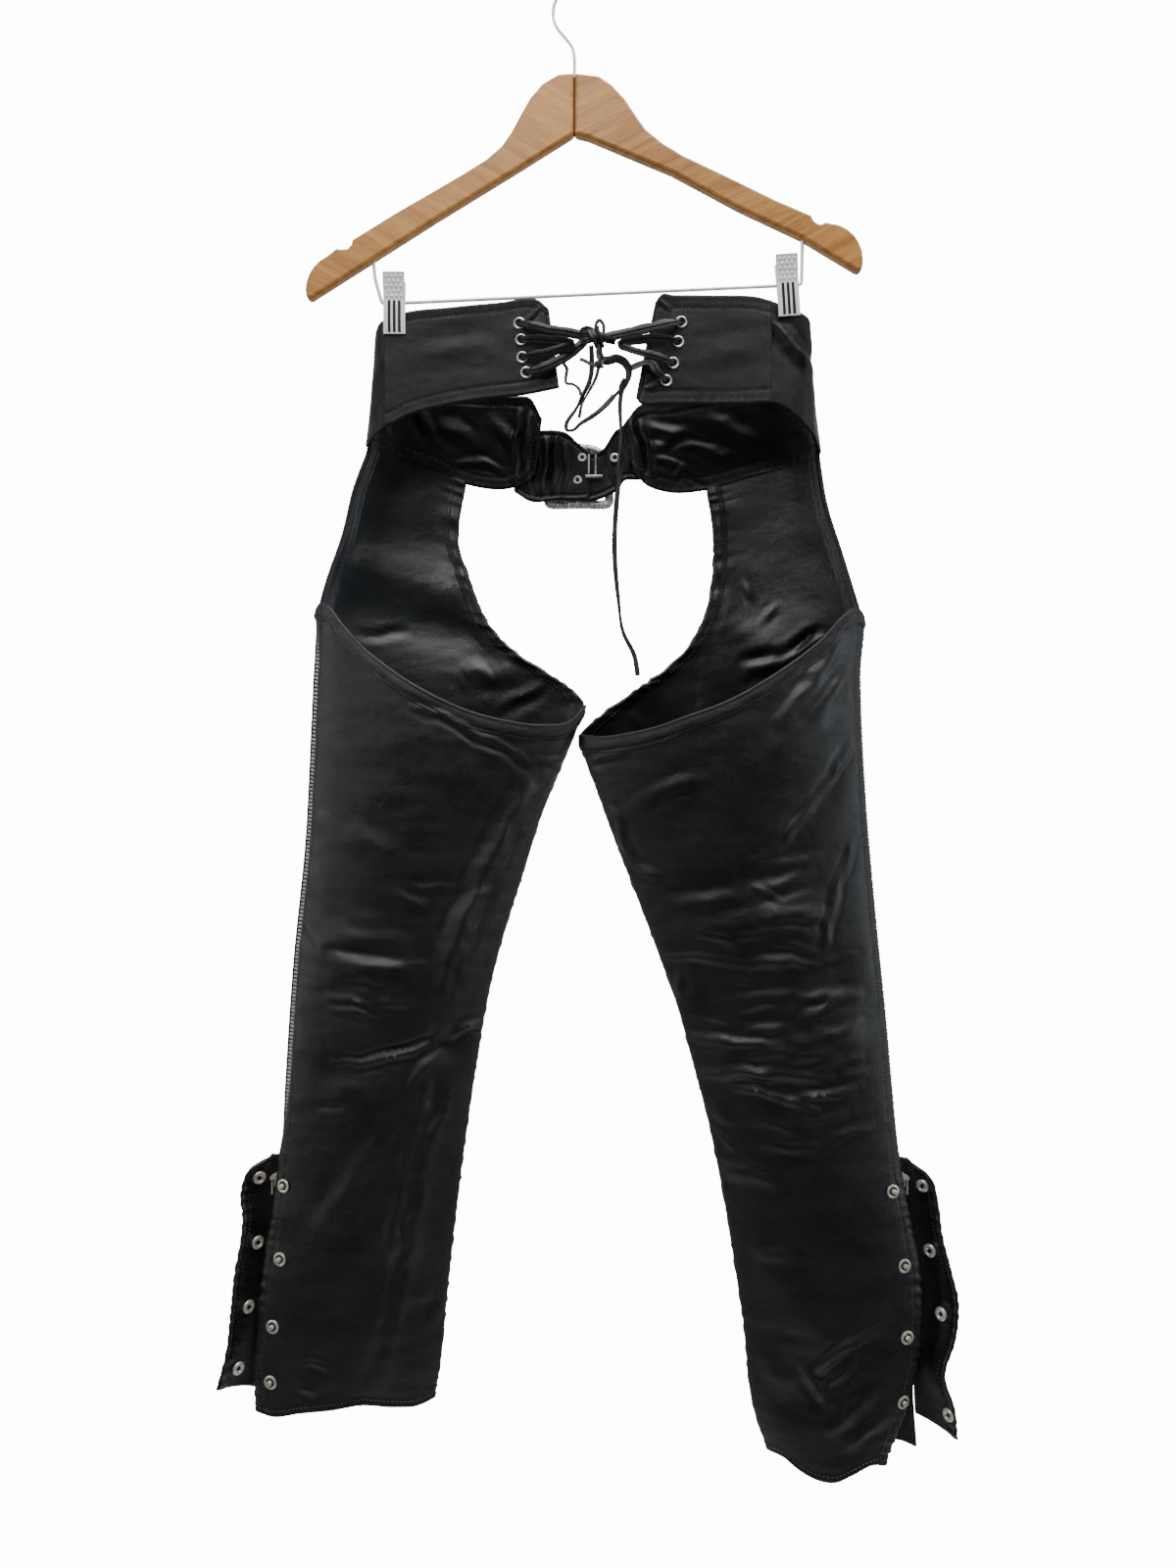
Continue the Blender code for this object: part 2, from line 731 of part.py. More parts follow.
def make_legs():
    """The back and the front panel of each leg."""
    made = {}
    for side in OUTWARD:
        made[side] = wall_from_surface(
            f"leg_back_{side}", back_panel[side].point, edge_weighted(12), even(22),
            LEG_WALL, BLACK_LEATHER)
        wall_from_surface(
            f"leg_front_{side}", front_panel[side].point, edge_weighted(12), even(26),
            LEG_WALL, BLACK_LEATHER)
    return made


def make_yokes():
    """The two back yokes, cut for their eyelets, and the two front yokes."""
    made = {}
    for side in OUTWARD:
        made[side] = wall_from_surface(
            f"back_yoke_{side}", back_yoke_band[side].point, even(10), even(4),
            YOKE_WALL, YOKE_LEATHER)
        wall_from_surface(
            f"front_yoke_{side}", front_yoke_band[side].point, even(20), even(4),
            YOKE_WALL, BLACK_LEATHER)
    return made


def make_yoke_eyelets(yokes):
    """Turned eyelets, each through a hole in the back yoke."""
    flange = 0.9
    grip = YOKE_WALL + 2 * TOUCH_GAP
    barrel = EYELET_HOLE + EYELET_BARREL
    profile = [
        (EYELET_HOLE, flange), (EYELET_RADIUS - 0.8, flange), (EYELET_RADIUS, 0.3),
        (EYELET_RADIUS, 0.0), (barrel, 0.0), (barrel, -grip),
        (barrel + 1.2, -grip), (barrel + 0.8, -grip - 0.6), (EYELET_HOLE, -grip - 0.6),
    ]
    places = {"left": [], "right": []}
    for side in OUTWARD:
        tree = surface_tree(yokes[side])
        for number, spot in enumerate(YOKE_EYELETS[side], start=1):
            place = seat_on(tree, spot.across, spot.drop, EYELET_RADIUS)
            places[side].append(place)
            name = f"eyelet_{side}_{number}"
            turned(name, profile, 12, place, NICKEL)
            middle = place.translation / MM
            out = place.to_3x3() @ Vector((0, 0, 1))
            cutter = rod_cutter(f"cutter_{name}", middle + out * 6, middle - out * 8,
                                barrel + TOUCH_GAP, 12)
            cut_with(yokes[side], cutter)
    return places


# Belt straps at the front, sewn under the ends of the front yokes.
BELT = {
    "left": [
        Station(-52, 64.2, 341, -51, 66.2, 389),
        Station(-34, 65.6, 338, -38, 67.0, 396.5),
        Station(-8, 66.8, 339, -16, 67.2, 396),
        Station(3, 67.2, 348, 2, 67.2, 396),
        Station(13, 67.4, 356, 12, 67.4, 395),
    ],
    "right": [
        Station(64, 65.0, 336, 66, 66.8, 378),
        Station(48, 66.6, 334, 52, 67.8, 378),
        Station(37, 67.8, 336, 44, 68.4, 378),
        Station(24, 69.8, 353, 36, 69.4, 387),
        Station(8, 70.5, 356, 18, 70.5, 395),
        Station(-22, 70.5, 356, -22, 70.5, 393),
    ],
}


def make_belt():
    """Both straps, the buckle and its tongue."""
    for side in OUTWARD:
        wall_from_surface(f"belt_strap_{side}", Band(BELT[side]).point, even(8), even(3),
                          STRAP_WALL, BLACK_LEATHER)
    strap_face = BELT["right"][-1].top_depth + STRAP_WALL / 2 + TOUCH_GAP
    frame_depth = strap_face + BUCKLE_DEPTH / 2
    centre = (BUCKLE_MIDDLE[0], frame_depth, BUCKLE_MIDDLE[1])
    outline = [(-BUCKLE_HALF_WIDE, -BUCKLE_HALF_HIGH), (BUCKLE_HALF_WIDE, -BUCKLE_HALF_HIGH),
               (BUCKLE_HALF_WIDE, BUCKLE_HALF_HIGH), (-BUCKLE_HALF_WIDE, BUCKLE_HALF_HIGH)]
    window = [(x - math.copysign(BUCKLE_RIM, x), z - math.copysign(BUCKLE_RIM, z))
              for x, z in outline]
    rim = prism("buckle_frame", outline, BUCKLE_DEPTH, NICKEL, centre=centre)
    hole = prism("cutter_buckle", window, 5 * BUCKLE_DEPTH, NICKEL, centre=centre)
    cut_with(rim, hole)
    soften(rim, 1.0)
    reach = Vector((0, 0, BUCKLE_HALF_HIGH - BUCKLE_RIM / 2))
    middle = Vector((BUCKLE_BAR_ACROSS, frame_depth, BUCKLE_MIDDLE[1]))
    bar = rod_cutter("helper_buckle_bar", middle - reach, middle + reach,
                     BUCKLE_BAR_RADIUS, 8)
    join_with(rim, bar)
    heel = BUCKLE_BAR_ACROSS + TONGUE_HEEL
    tip = BUCKLE_MIDDLE[0] - BUCKLE_HALF_WIDE + 0.5
    tongue = [(heel, -TONGUE_HALF_HIGH), (tip, -TONGUE_TIP_HALF_HIGH),
              (tip, TONGUE_TIP_HALF_HIGH), (heel, TONGUE_HALF_HIGH)]
    tongue_depth = frame_depth + (BUCKLE_DEPTH + TONGUE_DEPTH) / 2 + TOUCH_GAP
    prism("buckle_tongue", tongue, TONGUE_DEPTH, NICKEL, bevel=0.4,
          centre=(0.0, tongue_depth, BUCKLE_MIDDLE[1]))


FLAP_ROOT_GAP = 1.3
FlapRow = namedtuple("FlapRow", "root_drop tip_drop tip_across tip_depth sag")
FLAP = {
    "left": [
        FlapRow(940, 941.5, -245.5, 20, 0),
        FlapRow(956, 950.5, -262, 10, 5),
        FlapRow(974, 969, -268, 7, 6),
        FlapRow(992, 987, -265.5, 4, 6),
        FlapRow(1014, 1005, -266, 0, 7),
        FlapRow(1040, 1029.5, -270, -3, 7),
        FlapRow(1071, 1060, -272.5, -5, 7),
        FlapRow(1100, 1089.5, -275.5, -6, 7),
        FlapRow(1131, 1119.5, -283, -7, 6),
    ],
    "right": [
        FlapRow(942, 944.5, 271.5, 20, 0),
        FlapRow(960, 957.5, 288.5, 10, 5),
        FlapRow(980, 978, 293.5, 7, 6),
        FlapRow(1002, 1002.5, 296, 4, 6),
        FlapRow(1028, 1029.5, 302, 0, 7),
        FlapRow(1056, 1053, 306.5, -3, 7),
        FlapRow(1084, 1081, 303.5, -5, 7),
        FlapRow(1110, 1109.5, 295, -5, 7),
        FlapRow(1132, 1135.5, 302.5, -6, 6),
        FlapRow(1151, 1159, 304.5, -7, 4),
    ],
}


def make_flaps():
    """The snap flap that stands out from the open outseam of each leg."""
    made = {}
    for side in OUTWARD:
        rows = FLAP[side]
        count = len(rows) - 1
        keys = [i / count for i in range(count + 1)]
        curves = [smooth_curve(keys, [row[i] for row in rows]) for i in range(5)]
        outer = front_outer_line[side]
        sign = OUTWARD[side]
        half = front_panel[side].edge_half

        def point(u, v, curves=curves, outer=outer, sign=sign, half=half):
            root_drop, tip_drop, tip_across, tip_depth, sag = [c(v) for c in curves]
            root = outer.point(root_drop)
            root.y += half(root_drop)
            root.x += sign * FLAP_ROOT_GAP
            tip = Vector((tip_across, tip_depth, -tip_drop))
            place = root.lerp(tip, u)
            place.y += sag * math.sin(math.pi * u)
            return place

        made[side] = wall_from_surface(f"snap_flap_{side}", point, even(4), even(14),
                                       LEG_WALL, BLACK_LEATHER)
    return made


SNAP_STUDS = {
    "left": [Spot(-233, 961.5), Spot(-235, 1019), Spot(-240.5, 1072.5), Spot(-242, 1116.5)],
    "right": [Spot(255.5, 965), Spot(264.5, 1024), Spot(266.5, 1081), Spot(264, 1134)],
}
SNAP_SOCKETS = {
    "left": [Spot(-256, 958.5), Spot(-257, 1010.5), Spot(-263, 1061), Spot(-270, 1108.5)],
    "right": [Spot(283.5, 965), Spot(289, 1017), Spot(296.5, 1066), Spot(299.5, 1142)],
}


def make_snaps(backs, flaps):
    """Studs on the back panels and sockets on the inner faces of the flaps."""
    stud = [(0.0, 0.0), (SNAP_RADIUS, 0.0), (SNAP_RADIUS, 0.7), (3.4, 1.3), (2.1, 1.1),
            (1.9, 3.0), (0.0, 3.3)]
    socket = [(0.0, 0.0), (SNAP_RADIUS, 0.0), (SNAP_RADIUS, 1.0), (SNAP_RADIUS - 1.2, 1.9),
              (2.5, 1.7), (2.3, 0.6), (0.0, 0.6)]
    for side in OUTWARD:
        jobs = (("stud", backs[side], SNAP_STUDS[side], stud),
                ("socket", flaps[side], SNAP_SOCKETS[side], socket))
        for kind, wall, spots, profile in jobs:
            tree = surface_tree(wall)
            for number, spot in enumerate(spots, start=1):
                place = seat_on(tree, spot.across, spot.drop, SNAP_RADIUS)
                turned(f"snap_{kind}_{side}_{number}", profile, 12, place, NICKEL)


def make_zips():
    """The closed chain of each side zip, its slider and the slider's pull tab."""
    for side in OUTWARD:
        outer = back_outer_line[side]
        sign = OUTWARD[side]
        top = MOUTH_DROP[side][0] + 1.0
        drop_at = outer.pace(top, ZIP_FOOT_DROP)

        def point(u, v, outer=outer, drop_at=drop_at):
            place = outer.point(drop_at(v))
            place.y += (u - 0.5) * ZIP_WIDTH
            return place

        wall_from_surface(f"zip_chain_{side}", point, even(1), even(20), ZIP_THICKNESS,
                          ZIP_METAL)
        middle = outer.point(ZIP_FOOT_DROP + TOUCH_GAP + SLIDER_HEIGHT / 2)
        half_high = SLIDER_HEIGHT / 2
        half_deep = SLIDER_DEPTH / 2
        body = [(-half_deep, -half_high), (half_deep, -half_high + 1.5),
                (half_deep, half_high), (-half_deep, half_high)]
        if sign > 0:
            body = [(-x, z) for x, z in body]
        slider = prism(f"zip_slider_{side}", body, SLIDER_WIDTH, NICKEL, bevel=0.5,
                       centre=middle)
        pin = middle + Vector((sign * (half_deep + PIN_STAND_OFF), 0, PIN_RISE))
        add_ears(slider, side, pin, sign)
        make_tab(side, pin)


def add_ears(slider, side, pin, sign):
    """Two ears and a pin on the slider, which carry its pull tab."""
    ear_place = TAB_WIDTH / 2 + EAR_GAP + EAR_THICKNESS / 2
    high = EAR_HALF_HIGH
    outline = [(-2 * high, -high), (0.9, -high), (high, -0.6), (high, 0.6), (0.9, high),
               (-2 * high, high)]
    outline = [(sign * x, z) for x, z in outline]
    for name, shift in (("near", -ear_place), ("far", ear_place)):
        ear = prism(f"helper_ear_{name}_{side}", outline, EAR_THICKNESS, NICKEL,
                    centre=pin + Vector((0, shift, 0)))
        join_with(slider, ear)
    reach = Vector((0, ear_place + 0.2, 0))
    rod = rod_cutter(f"helper_pin_{side}", pin - reach, pin + reach, TAB_PIN_RADIUS, 10)
    join_with(slider, rod)


def make_tab(side, pin):
    """A flat pull tab with a barrel that turns on the slider's pin, its own origin."""
    half = TAB_WIDTH / 2
    outline = [(-half, -0.4), (half, -0.4), (half, -TAB_LENGTH + 1.5),
               (half * 0.5, -TAB_LENGTH), (-half * 0.5, -TAB_LENGTH),
               (-half, -TAB_LENGTH + 1.5)]
    tab = prism(f"zip_tab_{side}", outline, TAB_THICKNESS, NICKEL, axis="X", centre=pin)
    reach = Vector((0, half, 0))
    barrel = rod_cutter(f"helper_barrel_{side}", pin - reach * 0.98, pin + reach * 0.98,
                        TAB_BARREL_RADIUS, 12)
    join_with(tab, barrel)
    bore = rod_cutter(f"cutter_bore_{side}", pin - reach * 2, pin + reach * 2,
                      TAB_PIN_RADIUS + TAB_PIN_PLAY, 12)
    cut_with(tab, bore)


# The hanger's arms, each an outline in the plane across the hanger.
LEFT_ARM_UPPER = [
    (-12.5, -74.6), (-25, -82), (-34.5, -93), (-42.5, -107), (-49, -119.5), (-57, -131),
    (-69.5, -142), (-87, -153), (-111, -167), (-143, -185.5), (-176, -206),
]
LEFT_ARM_LOWER = [(-110.5, -190.5), (-47, -151.5), (0.2, -122)]
RIGHT_ARM_UPPER = [
    (20.5, -76), (31, -83), (41, -94), (49, -106), (57.5, -118), (71, -129), (86.5, -138.5),
    (130.5, -159.5), (160, -174), (189, -186.5),
]
RIGHT_ARM_LOWER = [(181.5, -204.5), (130.5, -180.5), (78.5, -152.5), (11.5, -124.5)]


def arc(centre, radius, start, end, steps):
    """Points of a round stretch, its angles in degrees."""
    points = []
    for i in range(steps + 1):
        angle = math.radians(mix(start, end, i / steps))
        points.append((centre[0] + radius * math.cos(angle),
                       centre[1] + radius * math.sin(angle)))
    return points


def make_hanger():
    """Two wooden arms, the hook, the wire bar below them and the two clips."""
    top = (0.3, -73.5)
    left = [top] + LEFT_ARM_UPPER
    left += [(-177, -210), (-180, -213), (-185, -213.5), (-188.5, -212.5)]
    left += arc((-183.5, -246), 30, 115, 178, 5)
    left += arc((-209.5, -249.5), 3.5, 180, 290, 3)
    left += LEFT_ARM_LOWER
    right = [(0.9, -122), (0.9, -73.5)] + RIGHT_ARM_UPPER
    right += [(191.5, -191), (196, -194), (200.5, -192)]
    right += arc((202, -221), 28.5, 72, -2, 5)
    right += arc((226.5, -227.5), 3.5, 0, -110, 3)
    right += RIGHT_ARM_LOWER
    arms = {
        "left": prism("hanger_arm_left", left, ARM_THICKNESS, BEECH),
        "right": prism("hanger_arm_right", right, ARM_THICKNESS, BEECH),
    }
    for arm in arms.values():
        soften(arm, 2.2, 2, 50.0)
    hook = hook_route()
    wire("hanger_hook", hook, HOOK_WIRE, CHROME, 2)
    bore = HOOK_WIRE / 2 + TOUCH_GAP
    shank = rod_cutter("cutter_shank", (0.6, 0, hook[0].z - 1), (0.6, 0, -60), bore)
    for arm in arms.values():
        cut_with(arm, shank)
    bar = bar_route()
    wire("clip_bar", bar, BAR_WIRE, CHROME, 2)
    ends = {"left": (bar[0], bar[1]), "right": (bar[-1], bar[-2])}
    for side, (tip, next_point) in ends.items():
        along = (next_point - tip).normalized()
        bore = BAR_WIRE / 2 + TOUCH_GAP
        cutter = rod_cutter(f"cutter_bar_{side}", tip - along, tip + along * 16, bore)
        cut_with(arms[side], cutter)


def hook_route():
    """The hook's shank, neck and loop, turned about the vertical from the arms' plane."""
    centre_height = HOOK_WIRE / 2 - HOOK_LOOP_RADIUS
    flat = [(0, -88), (0, -72), (0, -59), (-1, -52), (-4, -46.5), (-10, -38.5),
            (-16, -30), (-18.3, -23.5)]
    flat += arc((0, centre_height), HOOK_LOOP_RADIUS, 180, 15, 12)
    turned_points = [(0.6 + r * math.cos(HOOK_TURN), -r * math.sin(HOOK_TURN), z)
                     for r, z in flat]
    return smooth_route(turned_points, 4.5)


BAR_LEFT = (-153, -255.5)
BAR_RIGHT = (182, -240.2)


def bar_route():
    """The wire bar, bent up at both ends into the arms."""
    corners = [(-161.5, 0, -209), (-158.5, 0, -236), (BAR_LEFT[0], 0, BAR_LEFT[1]),
               (BAR_RIGHT[0], 0, BAR_RIGHT[1]), (183, 0, -197)]
    return rounded_route(corners, 3.0, 3)


def bar_height(across):
    """The height of the bar's middle at one place across."""
    share = (across - BAR_LEFT[0]) / (BAR_RIGHT[0] - BAR_LEFT[0])
    return mix(BAR_LEFT[1], BAR_RIGHT[1], share)


# A jaw's side view: (depth, height) of its outer line, from the grip down to the mouth,
# measured from the bar. The front jaw stands on the viewer's side.
JAW_LINE = {
    "front": [(8.4, 22.0), (7.6, 20.0), (5.0, 9.0), (3.8, 1.5), (3.6, -3.0), (3.4, -14.0),
              (2.7, -25.0)],
    "back": [(8.4, 20.0), (7.0, 13.0), (4.9, 2.0), (4.7, -3.0), (3.8, -14.0), (2.7, -25.0)],
}
CLIP_PLACE = {"left": (-142.8, 0.0), "right": (170.5, 4.0)}


def make_clips():
    """Two sprung clips on the bar, each of a front and a back jaw."""
    sleeve_radius = BAR_WIRE / 2 + TOUCH_GAP + 1.2
    for side, (across, lean) in CLIP_PLACE.items():
        centre = Vector((across, 0, bar_height(across)))
        turn = Matrix.Rotation(math.radians(-lean), 4, "Y")
        place = Matrix.Translation(centre * MM) @ turn
        outside = [(-y, z) for y, z in JAW_LINE["front"]]
        inside = [(-y + CLIP_METAL, z) for y, z in reversed(JAW_LINE["front"])]
        front = prism(f"clip_front_{side}", outside + inside, CLIP_WIDTH, CHROME, axis="X")
        front.matrix_world = place
        outside = [(y, z) for y, z in JAW_LINE["back"]]
        inside = [(y - CLIP_METAL, z) for y, z in reversed(JAW_LINE["back"])]
        back = prism(f"clip_back_{side}", outside + inside, CLIP_WIDTH - 2, CHROME, axis="X")
        back.matrix_world = place
        along = (Vector((BAR_RIGHT[0] - BAR_LEFT[0], 0, BAR_RIGHT[1] - BAR_LEFT[1]))
                 .normalized())
        half = along * (CLIP_WIDTH / 2 - 2)
        sleeve = rod_cutter(f"helper_sleeve_{side}", centre - half, centre + half,
                            sleeve_radius, 12)
        bore = rod_cutter(f"cutter_sleeve_{side}", centre - along * 30, centre + along * 30,
                          BAR_WIRE / 2 + TOUCH_GAP, 12)
        join_with(front, sleeve)
        cut_with(front, bore)


# The lace's own routes. A whole number stands for a pass through that eyelet, from the
# front when it is above 0 and from behind when it is below.
LACE_LEFT = [
    (7.6, -11, -285), (-4, -11.5, -282.5), (-20, -11.5, -280.5), 1, -2, (-24, -13, -289),
    (-8, -15, -291.5), (0, -14.5, -293.5), (-8, -14, -296), (-24, -12.5, -300.5), 3, -4,
    (-25, -11.5, -311), (-6, -11.5, -302), (5, -11, -293), (8.6, -11, -289.6),
]
LACE_RIGHT = [
    (26.4, -11, -286), (36, -11, -284), (62, -12, -278.5), 1, -2, (66, -12.5, -287.5),
    (45, -15, -290.5), (36, -14.5, -293), (45, -14, -297), (60, -12.5, -300.5), 3, -4,
    (66, -11.5, -314), (62, -11.5, -306.5), (55, -11.5, -306.5), (45.7, -11, -310.4),
]
LACE_LONG_END = [
    (21, -11, -292.7), (20.5, -11.5, -300), (25, -12, -306), (31, -12.5, -303.5),
    (38.5, -12, -305), (43.5, -11, -311), (43, -9, -319), (38.5, -7.5, -327),
    (37, -7, -338), (37.5, -7, -356), (36, -7, -395), (33.5, -7, -424), (32.5, -7, -448),
    (35.5, -7, -492), (39.5, -7, -519), (48.5, -7, -538), (51, -7, -553),
]
LACE_LOOP = [
    (14, -11, -292.9), (14.5, -9.5, -303), (13, -8, -319), (7, -6, -331), (2.5, -4, -340),
    (-4, -3, -349), (-6.5, -3, -356), (-2.5, -4, -358), (6, -5.5, -352.5),
    (18, -6.5, -345), (26, -7, -338), (32, -7.5, -331.5),
]
LACE_THIN_END = [
    (20.6, -11.6, -306.4), (18, -11, -317.5), (12.5, -10, -328.3), (7, -9, -337.6),
    (4.5, -9, -349),
]
LACE_TAIL = [
    (-8.7, -10.8, -305.6), (-4.5, -9.5, -313.5), (-7, -9.5, -319), (-4, -9.5, -323.3),
    (1.5, -9.5, -323), (5, -9.5, -328), (6, -11, -332),
]
KNOT_CENTRE = (17, -11, -286)
KNOT_HALF_LENGTH = 9.0
KNOT_RADIUS = 6.5


def lace_route(stops, places):
    """A rounded route through free points and through the eyelets at their places."""
    front = 3.2
    behind = YOKE_WALL + 2 * TOUCH_GAP + 0.6 + LACE_DIAMETER / 2 + 0.5
    corners = []
    for stop in stops:
        if isinstance(stop, int):
            place = places[abs(stop) - 1]
            middle = place.translation / MM
            out = place.to_3x3() @ Vector((0, 0, 1))
            pair = [middle + out * front, middle - out * behind]
            corners += pair if stop > 0 else pair[::-1]
        else:
            corners.append(Vector(stop))
    return rounded_route(corners, LACE_BEND, 2)


def make_lace(places):
    """The leather lace: its knot, its criss-cross on each side, its loop and its ends."""
    bulb = [(0.0, -KNOT_HALF_LENGTH)]
    for i in range(1, 6):
        angle = math.pi * (i / 6 - 0.5)
        bulb.append((KNOT_RADIUS * math.cos(angle), KNOT_HALF_LENGTH * math.sin(angle)))
    bulb.append((0.0, KNOT_HALF_LENGTH))
    place = Matrix.Translation(Vector(KNOT_CENTRE) * MM) @ Matrix.Rotation(math.pi / 2, 4, "Y")
    turned("lace_knot", bulb, 12, place, LACE_LEATHER)
    wire("lace_left", lace_route(LACE_LEFT, places["left"]), LACE_DIAMETER, LACE_LEATHER)
    wire("lace_right", lace_route(LACE_RIGHT, places["right"]), LACE_DIAMETER, LACE_LEATHER)
    wire("lace_long_end", smooth_route(LACE_LONG_END, LACE_STEP), LACE_DIAMETER, LACE_LEATHER)
    wire("lace_loop", smooth_route(LACE_LOOP, LACE_STEP), LACE_DIAMETER, LACE_LEATHER)
    wire("lace_thin_end", smooth_route(LACE_THIN_END, LACE_STEP), THIN_DIAMETER, LACE_LEATHER)
    wire("lace_tail", smooth_route(LACE_TAIL, LACE_STEP), THIN_DIAMETER, LACE_LEATHER)


legs = make_legs()
yokes = make_yokes()
eyelet_places = make_yoke_eyelets(yokes)
make_belt()
flaps = make_flaps()
make_snaps(legs, flaps)
make_zips()
make_hanger()
make_clips()
make_lace(eyelet_places)
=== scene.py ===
"""Looks for the leather chaps that hang by two clips from a wooden hanger.

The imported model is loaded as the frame. Each leather piece is modelled again as a thin
shell on its solid's form, with the hems, creases and stitches that show, in millimetres
until a mesh is made. "Drop" is the distance below the hook, "across" the place along X
and "depth" the place along Y, away from the camera.
"""

import math
from collections import namedtuple

import bpy
import numpy as np
from mathutils import Matrix, Vector, noise


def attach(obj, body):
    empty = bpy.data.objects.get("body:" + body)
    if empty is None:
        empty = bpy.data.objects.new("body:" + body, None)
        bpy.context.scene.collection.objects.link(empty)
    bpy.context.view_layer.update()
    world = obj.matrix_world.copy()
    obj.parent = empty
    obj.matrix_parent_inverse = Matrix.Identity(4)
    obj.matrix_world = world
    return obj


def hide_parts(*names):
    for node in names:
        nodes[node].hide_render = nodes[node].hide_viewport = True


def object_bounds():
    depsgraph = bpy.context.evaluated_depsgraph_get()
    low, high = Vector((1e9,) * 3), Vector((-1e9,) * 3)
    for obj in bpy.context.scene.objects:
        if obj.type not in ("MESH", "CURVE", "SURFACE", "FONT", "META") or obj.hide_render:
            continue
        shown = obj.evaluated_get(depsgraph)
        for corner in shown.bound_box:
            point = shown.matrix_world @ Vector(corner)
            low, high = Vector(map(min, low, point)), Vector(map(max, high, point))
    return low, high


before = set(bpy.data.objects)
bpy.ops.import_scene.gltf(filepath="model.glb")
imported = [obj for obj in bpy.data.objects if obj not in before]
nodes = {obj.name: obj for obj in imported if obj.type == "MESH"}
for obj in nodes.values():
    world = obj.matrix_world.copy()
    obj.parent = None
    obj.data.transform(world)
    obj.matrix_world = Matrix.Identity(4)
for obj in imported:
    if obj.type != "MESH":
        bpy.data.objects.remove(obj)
cad_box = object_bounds()

MM = 0.001
BODY = "garment"
OUTWARD = {"left": -1.0, "right": 1.0}

# Leather, as in the solids
LEG_WALL = 1.4
YOKE_WALL = 2.0
STRAP_WALL = 2.4
SEAM_GAP = 0.8
TOUCH_GAP = 0.35
ZIP_EDGE_HALF = 4.1
OPEN_EDGE_HALF = 6.4
ZIP_OPEN_FROM = 942.0
ZIP_OPEN_TO = 985.0
ZIP_FOOT_DROP = 954.0

# The photograph's camera: its place, and its focal length in pixels of a 1600 pixel high frame
CAMERA_PLACE = (0.0115, -0.950, -0.639)
FOCAL_PIXELS = 1213.3
FRAME_PIXELS = 1600.0
SENSOR_HEIGHT = 36.0

# The lace is a flat thong
LACE_WIDTH = 4.4
LACE_THICKNESS = 1.9
LACE_BEND = 2.2
LACE_STEP = 6.0
LACE_DIAMETER = 3.4


def smooth_curve(keys, values):
    """A smooth function through the pairs, its slopes taken from the neighbouring pairs."""
    last = len(keys) - 1
    rises = [(values[i + 1] - values[i]) / (keys[i + 1] - keys[i]) for i in range(last)]
    slopes = [rises[0]]
    for i in range(1, last):
        before = keys[i] - keys[i - 1]
        after = keys[i + 1] - keys[i]
        slopes.append((rises[i - 1] * after + rises[i] * before) / (before + after))
    slopes.append(rises[-1])

    def value_at(key):
        i = 0
        while i < last - 1 and key > keys[i + 1]:
            i += 1
        span = keys[i + 1] - keys[i]
        t = min(max((key - keys[i]) / span, 0.0), 1.0)
        start = values[i] * (1 + 2 * t) * (1 - t) ** 2 + slopes[i] * span * t * (1 - t) ** 2
        end = values[i + 1] * t * t * (3 - 2 * t) + slopes[i + 1] * span * t * t * (t - 1)
        return start + end

    return value_at


def smooth_step(value, low, high):
    """0 below low, 1 above high, and a soft change between them."""
    t = min(max((value - low) / (high - low), 0.0), 1.0)
    return t * t * (3 - 2 * t)


def mix(a, b, t):
    return a + (b - a) * t


def edge_weighted(count):
    """Places from 0 to 1, closer together near both ends."""
    places = []
    for i in range(count + 1):
        even = i / count
        places.append(0.35 * even + 0.65 * (0.5 - 0.5 * math.cos(math.pi * even)))
    return places


def even(count):
    return [i / count for i in range(count + 1)]


# A station of a band: its upper and its lower edge at one place along the band.
Station = namedtuple("Station", "top_across top_depth top_drop low_across low_depth low_drop")


class Band:
    """A leather band between two smooth edges that run through the same stations."""

    def __init__(self, stations):
        self.marks = [0.0]
        for before, after in zip(stations, stations[1:]):
            top_step = math.dist(before[:3], after[:3])
            low_step = math.dist(before[3:], after[3:])
            self.marks.append(self.marks[-1] + (top_step + low_step) / 2)
        total = self.marks[-1]
        self.marks = [mark / total for mark in self.marks]
        self.edges = [smooth_curve(self.marks, [row[i] for row in stations])
                      for i in range(6)]

    def upper(self, s):
        return Vector((self.edges[0](s), self.edges[1](s), -self.edges[2](s)))

    def lower(self, s):
        return Vector((self.edges[3](s), self.edges[4](s), -self.edges[5](s)))

    def point(self, s, t):
        return self.upper(s).lerp(self.lower(s), t)


BACK_YOKE = {
    "left": [
        Station(-150.2, 0, 268.4, -150.4, 0, 354),
        Station(-135, 0, 263, -137, 0, 346.5),
        Station(-99, -3, 260, -111, -1, 338.5),
        Station(-60, -5, 257, -73, -3, 332.5),
        Station(-29, -6, 255, -34, -5, 328.5),
        Station(-20, -6, 262, -12, -5, 324),
    ],
    "right": [
        Station(157.4, 0, 253.4, 157.6, 0, 334),
        Station(147, 0, 250.4, 139, 0, 335),
        Station(109, -3, 250.4, 98, -2, 336),
        Station(80, -5, 251, 71, -4, 336.5),
        Station(69, -6, 251.5, 54, -5, 336.5),
        Station(65, -6, 257, 50, -5, 332),
    ],
}

